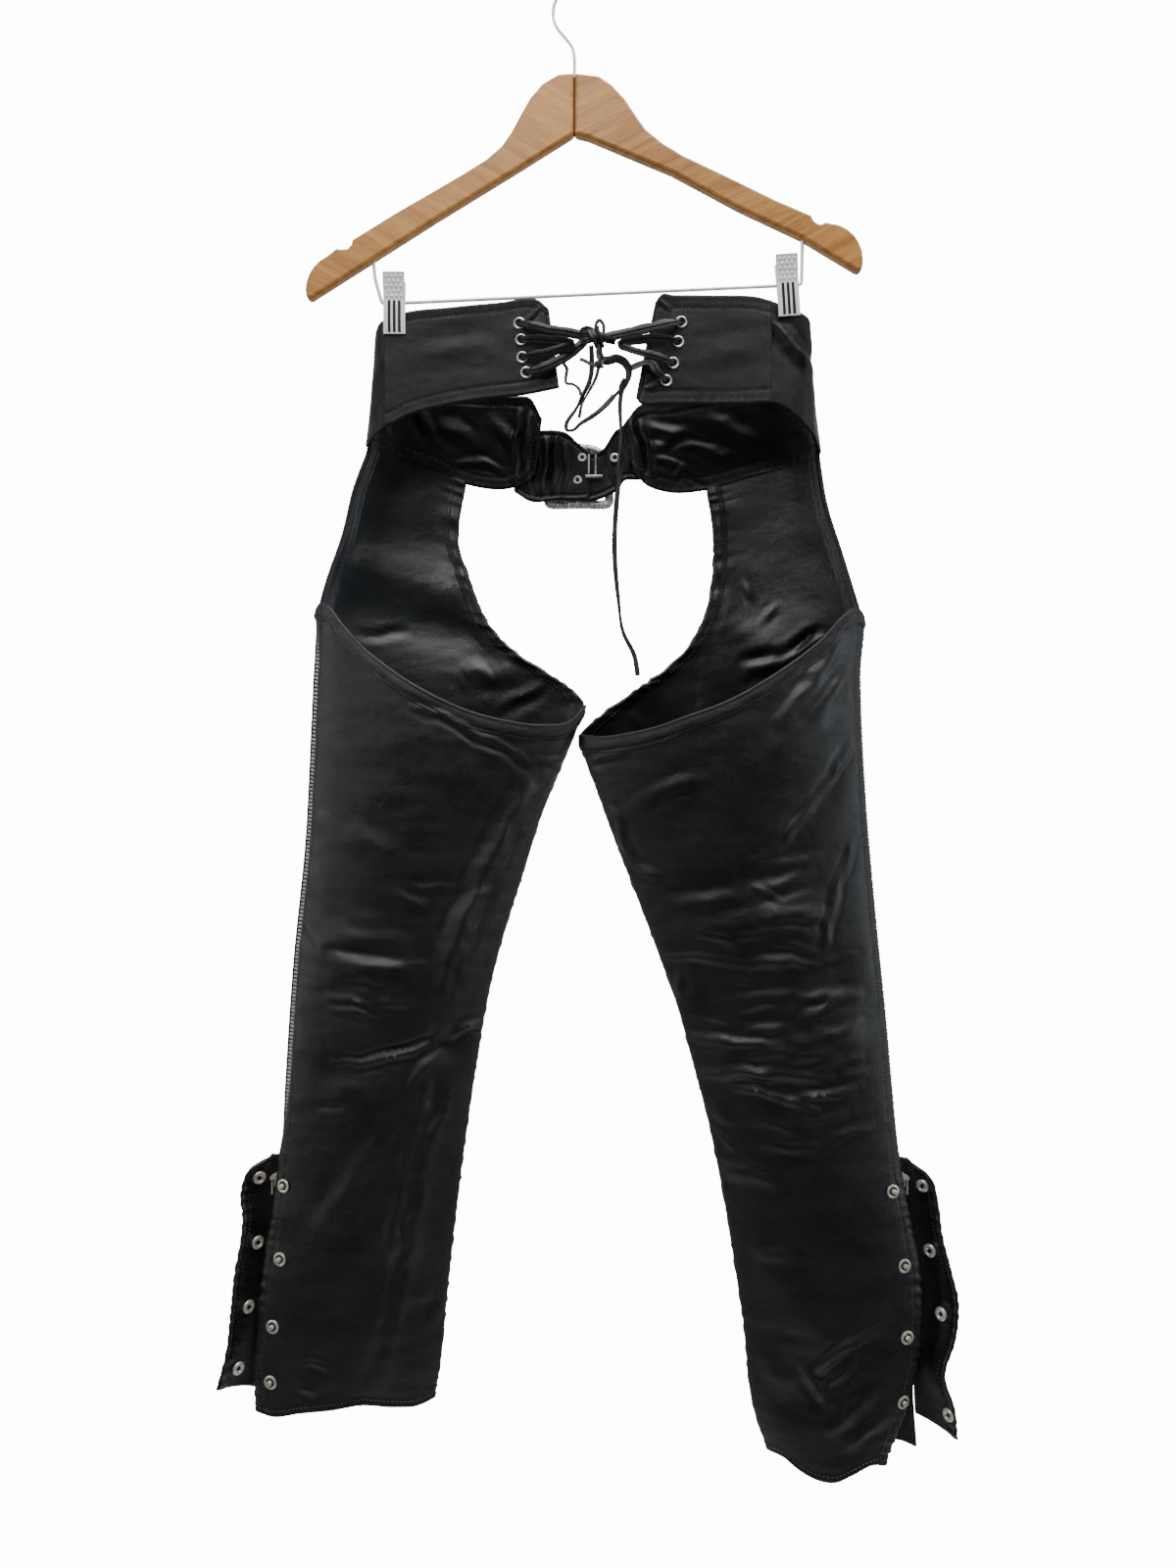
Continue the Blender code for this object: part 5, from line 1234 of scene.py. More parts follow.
def crease_height(creases, across, drop):
    """The summed height of the creases over arrays of places, each line a little wavy."""
    total = np.zeros_like(across)
    flat_across = across
    across = across + WAVER * noise_map(flat_across, drop, 0.045, 0.045, 21.0, 2)
    drop = drop + WAVER * noise_map(flat_across, drop, 0.045, 0.045, 33.0, 2)
    for crease in creases:
        points = arc_points(crease)
        reach = 4 * crease.width
        low = points.min(0) - reach
        high = points.max(0) + reach
        near = ((across > low[0]) & (across < high[0]) & (drop > low[1]) & (drop < high[1]))
        if not near.any():
            continue
        x = across[near]
        z = drop[near]
        nearest = np.full(x.shape, 1e9)
        share = np.zeros_like(x)
        count = len(points) - 1
        for i, (a, b) in enumerate(zip(points, points[1:])):
            run = b - a
            t = np.clip(((x - a[0]) * run[0] + (z - a[1]) * run[1]) / (run @ run), 0, 1)
            away = np.hypot(x - a[0] - run[0] * t, z - a[1] - run[1] * t)
            closer = away < nearest
            nearest = np.where(closer, away, nearest)
            share = np.where(closer, (i + t) / count, share)
        fade = np.sin(math.pi * np.clip(share * 0.92 + 0.04, 0, 1)) ** 0.6
        ratio = nearest / (crease.width * CREASE_NARROWING)
        profile = np.exp(-ratio ** 2) - 0.35 * np.exp(-((ratio - 1.9) / 0.8) ** 2)
        total[near] += crease.height * fade * profile
    unevenness = 1 + 0.45 * noise_map(flat_across, drop, 0.03, 0.03, 45.0, 2)
    return CREASE_SHARE * total * unevenness


def noise_map(across, drop, scale_across, scale_drop, seed, octaves=3):
    """Soft noise over arrays of places, between about -1 and 1."""
    flat = [noise.fractal(Vector((x * scale_across, z * scale_drop, seed)), 1.0, 2.0, octaves)
            for x, z in zip(across.ravel(), drop.ravel())]
    return np.array(flat).reshape(across.shape)


def edge_puckers(distance, along, seed, pitch, reach, height):
    """Small uneven gathers that run in from a sewn edge."""
    shift = np.array([noise.noise(Vector((s / (6 * pitch), seed, 0.3))) for s in along])
    swell = np.array([noise.noise(Vector((s / (4 * pitch), seed, 7.9))) for s in along])
    wave = np.cos(2 * math.pi * along / pitch + 9.0 * shift) * np.clip(0.55 + swell, 0.05, 1.2)
    if len(along) == len(distance):
        wave = wave[:, None]
    return height * wave * np.exp(-(distance / reach) ** 2)


def surface_grid(point, columns, rows, coarse=64):
    """The points of a surface function, read on even rows and smoothly filled between."""
    plain = np.linspace(0, 1, coarse)
    base = np.array([[point(float(u), float(v))[:] for u in columns] for v in plain])
    place = np.asarray(rows) * (coarse - 1)
    i = np.clip(place.astype(int), 0, coarse - 2)
    t = (place - i)[:, None, None]
    before = base[np.maximum(i - 1, 0)]
    start = base[i]
    end = base[i + 1]
    after = base[np.minimum(i + 2, coarse - 1)]
    rise = (end - before) / 2
    fall = (after - start) / 2
    return (start * (1 + 2 * t) * (1 - t) ** 2 + rise * t * (1 - t) ** 2
            + end * t * t * (3 - 2 * t) + fall * t * t * (t - 1))


def grid_normals(grid, toward):
    """Unit normals of a grid, turned to the side that "toward" points to."""
    along = np.gradient(grid, axis=1)
    down = np.gradient(grid, axis=0)
    normals = np.cross(along, down)
    normals /= np.linalg.norm(normals, axis=2, keepdims=True)
    if (normals @ np.array(toward)).mean() < 0:
        normals = -normals
    return normals


Reach = namedtuple("Reach", "top foot start end along_u along_v")


def edge_reach(grid):
    """Each place's distance from the grid's four edges, measured over the surface."""
    across = np.linalg.norm(np.diff(grid, axis=1), axis=2)
    down = np.linalg.norm(np.diff(grid, axis=0), axis=2)
    along_u = np.concatenate([np.zeros((len(grid), 1)), across.cumsum(axis=1)], axis=1)
    along_v = np.concatenate([np.zeros((1, grid.shape[1])), down.cumsum(axis=0)])
    return Reach(along_v, along_v[-1] - along_v, along_u, along_u[:, -1:] - along_u,
                 along_u, along_v)


class Sheet:
    """A leather piece being shaped: its grid, its relief and its two faces."""

    def __init__(self, point, columns, rows, thickness, coarse=64, toward=(0, -1, 0)):
        self.grid = surface_grid(point, columns, rows, coarse)
        self.columns = np.asarray(columns)
        self.rows = np.asarray(rows)
        self.normals = grid_normals(self.grid, toward)
        self.reach = edge_reach(self.grid)
        self.across = self.grid[..., 0]
        self.drop = -self.grid[..., 2]
        self.raised = np.zeros(self.grid.shape[:2])
        self.near_extra = np.zeros(self.grid.shape[:2])
        self.thickness = thickness

    def groove(self, distance, at, width=0.9, depth=0.35):
        """Sink the near face along a line that runs "at" from an edge."""
        self.near_extra -= depth * np.exp(-((distance - at) / width) ** 2)

    def hem(self, distance, width, extra=0.9, roll=0.5, bead=0.6):
        """Double the leather beside an edge, with a bead, a soft roll and its stitch groove."""
        inside = np.clip((width + 0.5 - distance) / 1.0, 0, 1)
        self.near_extra += extra * inside * inside * (3 - 2 * inside)
        self.near_extra += bead * np.exp(-((distance - 1.2) / 1.1) ** 2)
        swell = np.sin(math.pi * np.clip(distance / width, 0, 1))
        self.raised += roll * swell
        self.groove(distance, width - STITCH_INSET, 0.8, 0.5)

    def outer(self):
        lift = self.raised + self.near_extra + self.thickness / 2
        return self.grid + self.normals * lift[..., None]

    def inner(self):
        lift = self.raised - self.thickness / 2
        return self.grid + self.normals * lift[..., None]

    def line(self, distance, at, start=0.0, end=1.0, lift=0.0, axis="rows"):
        """Points and normals on the near face where a distance map reaches "at"."""
        face = self.outer()
        near = distance
        normals = self.normals
        if axis == "columns":
            face = face.transpose(1, 0, 2)
            normals = normals.transpose(1, 0, 2)
            near = near.T
        points = []
        ups = []
        count = near.shape[1]
        for j in range(int(start * (count - 1)), int(end * (count - 1)) + 1):
            column = near[:, j]
            rising = column if column[0] < column[-1] else column[::-1]
            if not rising[0] <= at <= rising[-1]:
                continue
            i = min(int(np.searchsorted(rising, at)), len(rising) - 1)
            i = max(i, 1)
            t = (at - rising[i - 1]) / max(rising[i] - rising[i - 1], 1e-9)
            a, b = (i - 1, i) if column[0] < column[-1] else (len(column) - i, len(column) - 1 - i)
            points.append(face[a, j] * (1 - t) + face[b, j] * t + normals[a, j] * lift)
            ups.append(normals[a, j])
        return points, ups

    def build(self, name, near_look, far_look, smooth_angle=60.0):
        """The closed shell with rounded edges, its two faces each of their own leather."""
        rows, columns = self.grid.shape[:2]
        outer = self.outer()
        inner = self.inner()
        middle = (outer + inner) / 2
        count = rows * columns
        index = np.arange(count).reshape(rows, columns)
        quads = np.stack([index[:-1, :-1], index[:-1, 1:], index[1:, 1:], index[1:, :-1]],
                         axis=-1).reshape(-1, 4)
        ring = np.concatenate([index[0, :], index[1:, -1], index[-1, -2::-1],
                               index[-2:0:-1, 0]])
        outward = []
        for i, j in ((r // columns, r % columns) for r in ring):
            step = np.zeros(3)
            if i == 0:
                step += middle[0, j] - middle[1, j]
            if i == rows - 1:
                step += middle[-1, j] - middle[-2, j]
            if j == 0:
                step += middle[i, 0] - middle[i, 1]
            if j == columns - 1:
                step += middle[i, -1] - middle[i, -2]
            outward.append(step / np.linalg.norm(step))
        rim = middle.reshape(-1, 3)[ring] + np.array(outward) * self.thickness * 0.35
        points = np.concatenate([outer.reshape(-1, 3), inner.reshape(-1, 3), rim])
        faces = quads.tolist() + (quads[:, ::-1] + count).tolist()
        rim_start = 2 * count
        size = len(ring)
        for i in range(size):
            j = (i + 1) % size
            faces.append((int(ring[j]), int(ring[i]), rim_start + i, rim_start + j))
            faces.append((rim_start + j, rim_start + i, int(ring[i]) + count,
                          int(ring[j]) + count))
        mesh = mesh_from(name, points, faces)
        made = link(name, mesh, (near_look, far_look), smooth_angle)
        kinds = [0] * len(quads) + [1] * len(quads) + [0, 1] * size
        mesh.polygons.foreach_set("material_index", kinds)
        return made

    def declare(self, node):
        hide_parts(node)


def edge_places(count, edge, near):
    """Places from 0 to 1 with "near" extra places within "edge" of both ends."""
    inner = np.linspace(edge, 1 - edge, count)
    start = np.linspace(0, edge, near, endpoint=False)
    return np.concatenate([start, inner, (1 - start)[::-1]])


# Stitches

STITCH_INSET = 1.6
STITCH_LENGTH = 2.3
STITCH_PITCH = 3.3
STITCH_WIDTH = 1.1
STITCH_HEIGHT = 0.75


def stitch_row(heap, points, ups, pitch=STITCH_PITCH, length=STITCH_LENGTH):
    """Small raised threads along a line of points."""
    if len(points) < 2:
        return
    points = np.array(points)
    ups = np.array(ups)
    steps = np.linalg.norm(np.diff(points, axis=0), axis=1)
    lengths = np.concatenate([[0], steps.cumsum()])

    def at(distance):
        return np.array([np.interp(distance, lengths, points[:, k]) for k in range(3)])

    count = int(lengths[-1] / pitch)
    for n in range(count):
        centre = (n + 0.5) * lengths[-1] / count
        head = at(centre - length / 2)
        tail = at(centre + length / 2)
        along = tail - head
        along /= np.linalg.norm(along)
        up = np.array([np.interp(centre, lengths, ups[:, k]) for k in range(3)])
        up /= np.linalg.norm(up)
        side = np.cross(along, up) * STITCH_WIDTH / 2
        rise = up * STITCH_HEIGHT
        sink = up * -0.5
        run = along * length * 0.28
        middle = at(centre)
        shape = [head + sink, middle - run + side + sink, middle + run + side + sink,
                 tail + sink, middle + run - side + sink, middle - run - side + sink,
                 middle - run + rise, middle + run + rise]
        heap.add(shape, [(0, 5, 6), (0, 6, 1), (1, 6, 7, 2), (2, 7, 3), (3, 7, 4),
                         (4, 7, 6, 5), (0, 1, 2, 3, 4, 5)])


def edge_window(sheet, margin_u, margin_v):
    """1 over a sheet's middle, and 0 at its edges, over two margins in millimetres."""
    reach = sheet.reach
    side = np.clip(np.minimum(reach.start, reach.end) / margin_u, 0, 1)
    end = np.clip(np.minimum(reach.top, reach.foot) / margin_v, 0, 1)
    return side * end


def make_legs():
    """The back and front panels of both legs, with their hems, bands and creases."""
    for number, side in enumerate(OUTWARD):
        heap = Heap()
        sheet = Sheet(back_panel[side].point, edge_places(98, 0.09, 14),
                      edge_places(250, 0.03, 22), LEG_WALL)
        reach = sheet.reach
        beside = np.clip(1 - reach.start / ZIP_SHOW_REACH, 0, 1)
        beside *= np.clip((sheet.drop - ZIP_SHOW_FROM) / 40, 0, 1)
        beside *= np.clip((ZIP_SHOW_TO - sheet.drop) / 60, 0, 1)
        sheet.grid[..., 0] -= OUTWARD[side] * ZIP_SHOW[side] * beside
        corner = np.clip(1 - reach.start / CORNER_REACH, 0, 1) ** 2
        corner *= np.clip(1 - reach.top / (2 * CORNER_REACH), 0, 1)
        sheet.grid[..., 2] -= CORNER_DROP * corner
        window = edge_window(sheet, 9.0, 11.0)
        sheet.raised += window * crease_height(BACK_CREASES[side], sheet.across, sheet.drop)
        sheet.raised += window * 0.55 * noise_map(sheet.across, sheet.drop, 0.013, 0.05,
                                                  3.1 + number)
        fine = noise_map(sheet.across, sheet.drop, 0.035, 0.11, 8.3 + number, 4)
        sheet.raised += window * 0.22 * fine
        sheet.hem(reach.top, MOUTH_HEM, 0.9, 0.6)
        sheet.hem(reach.foot, FOOT_HEM, 0.4, 0.1, 0.2)
        sheet.raised += edge_puckers(reach.start, reach.along_v[:, 0], 2.0 + number, 4.6, 8.0,
                                      BAND_PUCKER[side])
        opened = np.clip((sheet.drop - ZIP_OPEN_FROM) / 30, 0, 1)
        sheet.raised += opened * edge_puckers(reach.start, reach.along_v[:, 0], 12.0 + number,
                                              8.0, 8.0, 0.9)
        sheet.groove(reach.start, ZIP_BAND)
        sheet.raised += edge_puckers(reach.end, reach.along_v[:, -1], 5.0 + number, 9.0, 6.0, 0.3)
        points, ups = sheet.line(reach.top, MOUTH_HEM - STITCH_INSET, 0.02, 0.98)
        stitch_row(heap, points, ups)
        points, ups = sheet.line(reach.foot, FOOT_HEM - STITCH_INSET, 0.03, 0.97)
        stitch_row(heap, points, ups)
        points, ups = sheet.line(reach.start, ZIP_BAND, 0.02, 0.98, axis="columns")
        stitch_row(heap, points, ups)
        made = sheet.build(f"leg_back_{side}_leather", LEG_LOOK[side], INNER_LOOK)
        sheet.declare(f"leg_back_{side}")

        sheet = Sheet(front_panel[side].point, edge_places(80, 0.12, 13),
                      edge_places(190, 0.02, 8), LEG_WALL)
        reach = sheet.reach
        under = np.clip(1 - reach.top / SEAM_OVERLAP_REACH, 0, 1)
        sheet.grid[..., 2] += SEAM_OVERLAP * under
        window = edge_window(sheet, 12.0, 8.0)
        sheet.raised += window * crease_height(FRONT_CREASES[side], sheet.across, sheet.drop)
        sheet.raised += window * 0.8 * noise_map(sheet.across, sheet.drop, 0.012, 0.03,
                                                 4.7 + number)
        sheet.hem(reach.end, FACING, 0.8, 0.5)
        sheet.raised += edge_puckers(reach.end, reach.along_v[:, -1], 9.0 + number, 6.0, 15.0, 1.5)
        sheet.hem(reach.start, ZIP_FACING, 0.7, 0.2)
        points, ups = sheet.line(reach.end, FACING - STITCH_INSET, 0.0, 0.9, axis="columns")
        stitch_row(heap, points, ups)
        points, ups = sheet.line(reach.start, ZIP_FACING - STITCH_INSET, 0.0, 0.9, axis="columns")
        stitch_row(heap, points, ups)
        made = sheet.build(f"leg_front_{side}_leather", INNER_LOOK, LEG_LOOK[side])
        sheet.declare(f"leg_front_{side}")
        heap.piece(f"leg_stitches_{side}", THREAD_LOOK)


# A row of stitches on a band: the edge that it follows, how far in, and from where to where.
Seam = namedtuple("Seam", "edge inset start end")
BACK_YOKE_SEAMS = {
    "left": [Seam("top", 6.5, 0.0, 0.97), Seam("foot", 10.0, 0.0, 0.97),
             Seam("end", 4.0, 0.05, 0.95)],
    "right": [Seam("top", 9.5, 0.0, 0.97), Seam("foot", 10.5, 0.0, 0.97),
              Seam("end", 4.0, 0.05, 0.95)],
}
FRONT_YOKE_SEAMS = {
    "left": [Seam("top", 7.5, 0.0, 0.96), Seam("foot", 9.0, 0.0, 0.96),
             Seam("start", 4.0, 0.03, 0.97), Seam("end", 5.0, 0.1, 0.9)],
    "right": [Seam("top", 9.5, 0.0, 0.96), Seam("foot", 10.5, 0.0, 0.96),
              Seam("start", 4.0, 0.03, 0.97), Seam("end", 4.5, 0.1, 0.9),
              Seam("end", 12.5, 0.1, 0.9)],
}


def sew(sheet, heap, seams, depth=0.45):
    """Grooves and stitches along a sheet's seams, and a bead along its edges."""
    reach = sheet.reach
    nearest = np.minimum(np.minimum(reach.top, reach.foot), np.minimum(reach.start, reach.end))
    sheet.near_extra += 0.35 * np.exp(-((nearest - 1.2) / 1.1) ** 2)
    maps = {"top": sheet.reach.top, "foot": sheet.reach.foot, "start": sheet.reach.start,
            "end": sheet.reach.end}
    for seam in seams:
        sheet.groove(maps[seam.edge], seam.inset, 0.9, depth)
    for seam in seams:
        axis = "rows" if seam.edge in ("top", "foot") else "columns"
        points, ups = sheet.line(maps[seam.edge], seam.inset, seam.start, seam.end, axis=axis)
        stitch_row(heap, points, ups)


def make_yokes():
    """The back and front yokes: satin leather, with sewn edges and soft buckles."""
    for number, side in enumerate(OUTWARD):
        heap = Heap()
        sheet = Sheet(back_yoke_band[side].point, edge_places(110, 0.04, 6),
                      edge_places(56, 0.1, 6), YOKE_WALL)
        under = np.clip(1 - sheet.reach.start / SEAM_OVERLAP_REACH, 0, 1)
        sheet.grid[..., 0] += OUTWARD[side] * SEAM_GAP * 1.3 * under
        sheet.raised += 0.5 * noise_map(sheet.across, sheet.drop, 0.02, 0.035, 11.0 + number)
        sheet.raised += crease_height(BACK_YOKE_CREASES[side], sheet.across, sheet.drop)
        sheet.raised += edge_puckers(sheet.reach.top, sheet.reach.along_u[0], 1.5 + number,
                                     8.0, 5.0, 0.16)
        sheet.raised += edge_puckers(sheet.reach.foot, sheet.reach.along_u[-1], 2.5 + number,
                                     8.0, 7.0, 0.2)
        sew(sheet, heap, BACK_YOKE_SEAMS[side])
        made = sheet.build(f"back_yoke_{side}_leather", YOKE_LOOK, SIDE_LOOK)
        sheet.declare(f"back_yoke_{side}")

        sheet = Sheet(front_yoke_band[side].point, edge_places(190, 0.02, 5),
                      edge_places(52, 0.1, 6), YOKE_WALL, 40)
        sheet.raised += 0.5 * noise_map(sheet.across, sheet.grid[..., 1] + sheet.drop, 0.02,
                                        0.035, 14.0 + number)
        sheet.raised += crease_height(FRONT_YOKE_CREASES[side], sheet.across, sheet.drop)
        sheet.raised += edge_puckers(sheet.reach.foot, sheet.reach.along_u[-1], 4.5 + number,
                                     7.0, 6.0, 0.25)
        sew(sheet, heap, FRONT_YOKE_SEAMS[side])
        made = sheet.build(f"front_yoke_{side}_leather", SIDE_LOOK, YOKE_LOOK)
        sheet.declare(f"front_yoke_{side}")
        heap.piece(f"yoke_stitches_{side}", THREAD_LOOK)


def make_belt():
    """The belt's two straps, with their sewn edges, eyelets and small metal."""
    heap = Heap()
    for number, side in enumerate(OUTWARD):
        sheet = Sheet(Band(BELT[side]).point, edge_places(64, 0.05, 5),
                      edge_places(40, 0.08, 5), STRAP_WALL, 32)
        sheet.raised += 0.3 * noise_map(sheet.across, sheet.drop, 0.03, 0.05, 17.0 + number)
        sheet.raised += edge_puckers(sheet.reach.top, sheet.reach.along_u[0], 3.0 + number,
                                     6.0, 5.0, 0.25)
        sheet.raised += crease_height(BELT_CREASES[side], sheet.across, sheet.drop)
        sew(sheet, heap, [Seam("top", 4.0, 0.0, 1.0), Seam("foot", 4.0, 0.0, 1.0)], 0.45)
        made = sheet.build(f"belt_strap_{side}_leather", SIDE_LOOK, YOKE_LOOK)
        sheet.declare(f"belt_strap_{side}")
    heap.piece("belt_stitches", THREAD_LOOK)
    metal_heap = Heap()
    for across, depth, height, radius in BELT_EYELETS:
        place = Matrix.Translation((across, depth, height)) @ Matrix.Rotation(
            math.pi / 2, 4, "X")
        ring = [(radius * 0.5, -0.4), (radius * 0.5, 0.3), (radius * 0.62, 0.75),
                (radius * 0.82, 0.8), (radius, 0.3), (radius, -0.4)]
        metal_heap.add(*turned_shape(ring, 28, place))
        # The eyelet's middle is a dark disc of painted shade.
        metal_heap.add(*turned_shape([(0, 0.05), (radius * 0.55, 0.05), (radius * 0.55, -0.3),
                                      (0, -0.3)], 20, place), 1)
    for start, end, radius in BELT_BARS:
        route = smooth_route((start, end), 3.0)
        metal_heap.add(*tube(route, round_section(radius, 10)))
    made = metal_heap.piece("belt_metal", (BUCKLE_LOOK, RECESS_SHADE_LOOK))


def flap_surface(side):
    """The surface function of a snap flap."""
    rows = FLAP[side]
    count = len(rows) - 1
    keys = [i / count for i in range(count + 1)]
    curves = [smooth_curve(keys, [row[i] for row in rows]) for i in range(5)]
    outer = front_outer_line[side]
    half = front_panel[side].edge_half

    def point(u, v):
        root_drop, tip_drop, tip_across, tip_depth, sag = [curve(v) for curve in curves]
        root = outer.point(root_drop)
        root.y += half(root_drop)
        root.x += OUTWARD[side] * FLAP_ROOT_GAP
        tip = Vector((tip_across, tip_depth, -tip_drop))
        place = root.lerp(tip, u)
        place.y += sag * math.sin(math.pi * u)
        return place

    return point


def make_flaps():
    """The snap flap of each leg, with its sewn free edge."""
    for number, side in enumerate(OUTWARD):
        heap = Heap()
        sheet = Sheet(flap_surface(side), edge_places(22, 0.14, 4), edge_places(130, 0.02, 3),
                      LEG_WALL, 48)
        sheet.raised += edge_puckers(sheet.reach.end, sheet.reach.along_v[:, -1], 6.0 + number,
                                     9.0, 13.0, 0.7)
        sheet.hem(sheet.reach.end, FLAP_HEM, 0.5, 0.7, 0.4)
        sew(sheet, heap, [Seam("end", FLAP_HEM - STITCH_INSET, 0.02, 0.98),
                          Seam("start", 3.0, 0.02, 0.98)])
        made = sheet.build(f"snap_flap_{side}_leather", FLAP_LOOK, LEG_LOOK[side])
        sheet.declare(f"snap_flap_{side}")
        heap.piece(f"flap_stitches_{side}", THREAD_LOOK)


# Metal


def make_buckle():
    """The buckle's frame: a domed silver rim with a twisted cord and beads along it."""
    corners = []
    wide = BUCKLE_HALF_WIDE - BUCKLE_RIM / 2
    high = BUCKLE_HALF_HIGH - BUCKLE_RIM / 2
    outline = [(-0.2, -1.0), (-1.0, -1.0), (-1.0, -0.5), (-1.0, 0.4), (-0.82, 0.78),
               (-0.45, 0.96), (0.0, 1.02), (0.45, 0.96), (0.82, 0.78), (1.0, 0.4),
               (1.0, -0.5), (1.0, -1.0), (0.2, -1.0), (-0.2, -1.0)]
    for x, z in outline:
        corners.append((BUCKLE_MIDDLE[0] + x * wide, BUCKLE_DEPTH_PLACE,
                        BUCKLE_MIDDLE[1] + z * high))
    route = smooth_route(rounded_route(corners, 3.0, 3), 1.2)
    heap = Heap()
    rim = [(BUCKLE_RIM / 2 * math.cos(a), 2.0 * math.sin(a))
           for a in np.linspace(0, 2 * math.pi, 14, endpoint=False)]
    heap.add(*tube(route, rim))
    face = [point - Vector((0, 1.9, 0)) for point in route]
    cord = [(0.95 * (1 + 0.35 * math.cos(3 * a)) * math.cos(a),
             0.95 * (1 + 0.35 * math.cos(3 * a)) * math.sin(a))
            for a in np.linspace(0, 2 * math.pi, 12, endpoint=False)]
    heap.add(*tube(face, cord, twist=1.1))
    bead = [(1.0, 0), (0.86, 0.5), (0.5, 0.86), (0, 1.0), (0, 0)]
    for point in face[::3]:
        for shift in (-2.9, 2.9):
            out = Vector((point.x - BUCKLE_MIDDLE[0], 0, point.z - BUCKLE_MIDDLE[1]))
            flat = Vector((0, 0, 1)) if abs(out.z) / high > abs(out.x) / wide else Vector((1, 0, 0))
            seat = point + flat * shift + Vector((0, 0.9, 0))
            turn = Matrix.Rotation(math.pi / 2, 4, "X")
            heap.add(*turned_shape(bead, 8, Matrix.Translation(seat) @ turn))
    bar = [(BUCKLE_BAR_ACROSS, BUCKLE_DEPTH_PLACE, BUCKLE_MIDDLE[1] - high),
           (BUCKLE_BAR_ACROSS, BUCKLE_DEPTH_PLACE, BUCKLE_MIDDLE[1] + high)]
    heap.add(*tube(smooth_route(bar, 4.0), round_section(1.6, 12)))
    for shift, size in ((-6.5, 1.5), (-3.4, 2.1), (0.0, 2.9), (3.4, 2.1), (6.5, 1.5)):
        seat = Vector((BUCKLE_MIDDLE[0] + shift, BUCKLE_DEPTH_PLACE - 1.6,
                       BUCKLE_MIDDLE[1] - high + size * 0.4))
        turn = Matrix.Rotation(math.pi / 2, 4, "X") @ Matrix.Scale(size, 4)
        heap.add(*turned_shape(bead, 14, Matrix.Translation(seat) @ turn))
    made = heap.piece("buckle_frame_silver", BUCKLE_LOOK)
    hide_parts("buckle_frame")


def turned_shape(profile, sides, place):
    """Points and faces of a profile of (radius, height) pairs turned about a place's Z."""
    points = []
    for radius, height in profile:
        for i in range(sides):
            angle = 2 * math.pi * i / sides
            points.append(place @ Vector((radius * math.cos(angle), radius * math.sin(angle),
                                          height)))
    faces = []
    count = len(profile)
    for k in range(count):
        n = (k + 1) % count
        if profile[k][0] == 0 and profile[n][0] == 0:
            continue
        for i in range(sides):
            j = (i + 1) % sides
            if profile[k][0] == 0:
                faces.append((k * sides, n * sides + i, n * sides + j))
            elif profile[n][0] == 0:
                faces.append((k * sides + j, k * sides + i, n * sides))
            else:
                faces.append((k * sides + j, k * sides + i, n * sides + i, n * sides + j))
    return points, faces


def make_fittings():
    """Rounder eyelets and snaps in the places of the solids, with painted shade in their hollows
    and middles.
    """
    for name in list(nodes):
        if not name.startswith(("eyelet", "snap_stud", "snap_socket")):
            continue
        middle, axis = disc_place(name)
        turn = axis.to_track_quat("Z", "Y").to_matrix().to_4x4()
        place = Matrix.Translation(middle) @ turn
        reach = [(Vector(v.co) / MM - middle).dot(axis) for v in nodes[name].data.vertices]
        top = max(reach)
        foot = min(reach)
        heap = Heap()
        if name.startswith("eyelet"):
            heap.add(*turned_shape(
                [(3.1, top - 0.6), (3.3, top - 0.1), (3.9, top + 0.15), (4.5, top - 0.1),
                 (4.8, top - 0.75), (4.8, top - 0.9), (3.1, top - 0.9)], 40, place))
            # The eyelet's barrel is painted shade.
            heap.add(*turned_shape(
                [(2.3, foot), (2.3, top - 0.7), (3.15, top - 0.5), (3.15, top - 0.9),
                 (3.0, foot + 0.6), (4.2, foot + 0.6), (3.8, foot)], 32, place), 1)
        elif "stud" in name:
            heap.add(*turned_shape(
                [(0, foot), (5.5, foot), (5.5, foot + 0.5), (5.1, foot + 0.9),
                 (4.3, foot + 1.0), (3.7, foot + 0.75)], 40, place))
            # The stud's flat middle around its post is painted shade.
            heap.add(*turned_shape([(0, foot + 0.2), (3.8, foot + 0.2), (3.8, foot + 0.72),
                                    (2.2, foot + 0.72), (0, foot + 0.72)], 32, place), 1)
            heap.add(*turned_shape(
                [(0, foot + 0.3), (2.1, foot + 0.3), (1.9, foot + 1.4), (2.15, foot + 2.4),
                 (1.8, foot + 3.0), (1.0, foot + 3.2), (0, foot + 3.25)], 28, place))
        else:
            heap.add(*turned_shape(
                [(0, foot), (5.5, foot), (5.5, foot + 0.7), (5.0, foot + 1.4),
                 (4.2, foot + 1.85), (3.4, foot + 1.8), (2.9, foot + 1.2)], 40, place))
            # The socket's hollow is painted shade.
            heap.add(*turned_shape([(0, foot + 0.3), (3.2, foot + 0.3), (3.2, foot + 1.25),
                                    (2.6, foot + 0.75), (0, foot + 0.7)], 32, place), 1)
        made = heap.piece(f"{name}_round", (NICKEL_LOOK, RECESS_SHADE_LOOK))
        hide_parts(name)


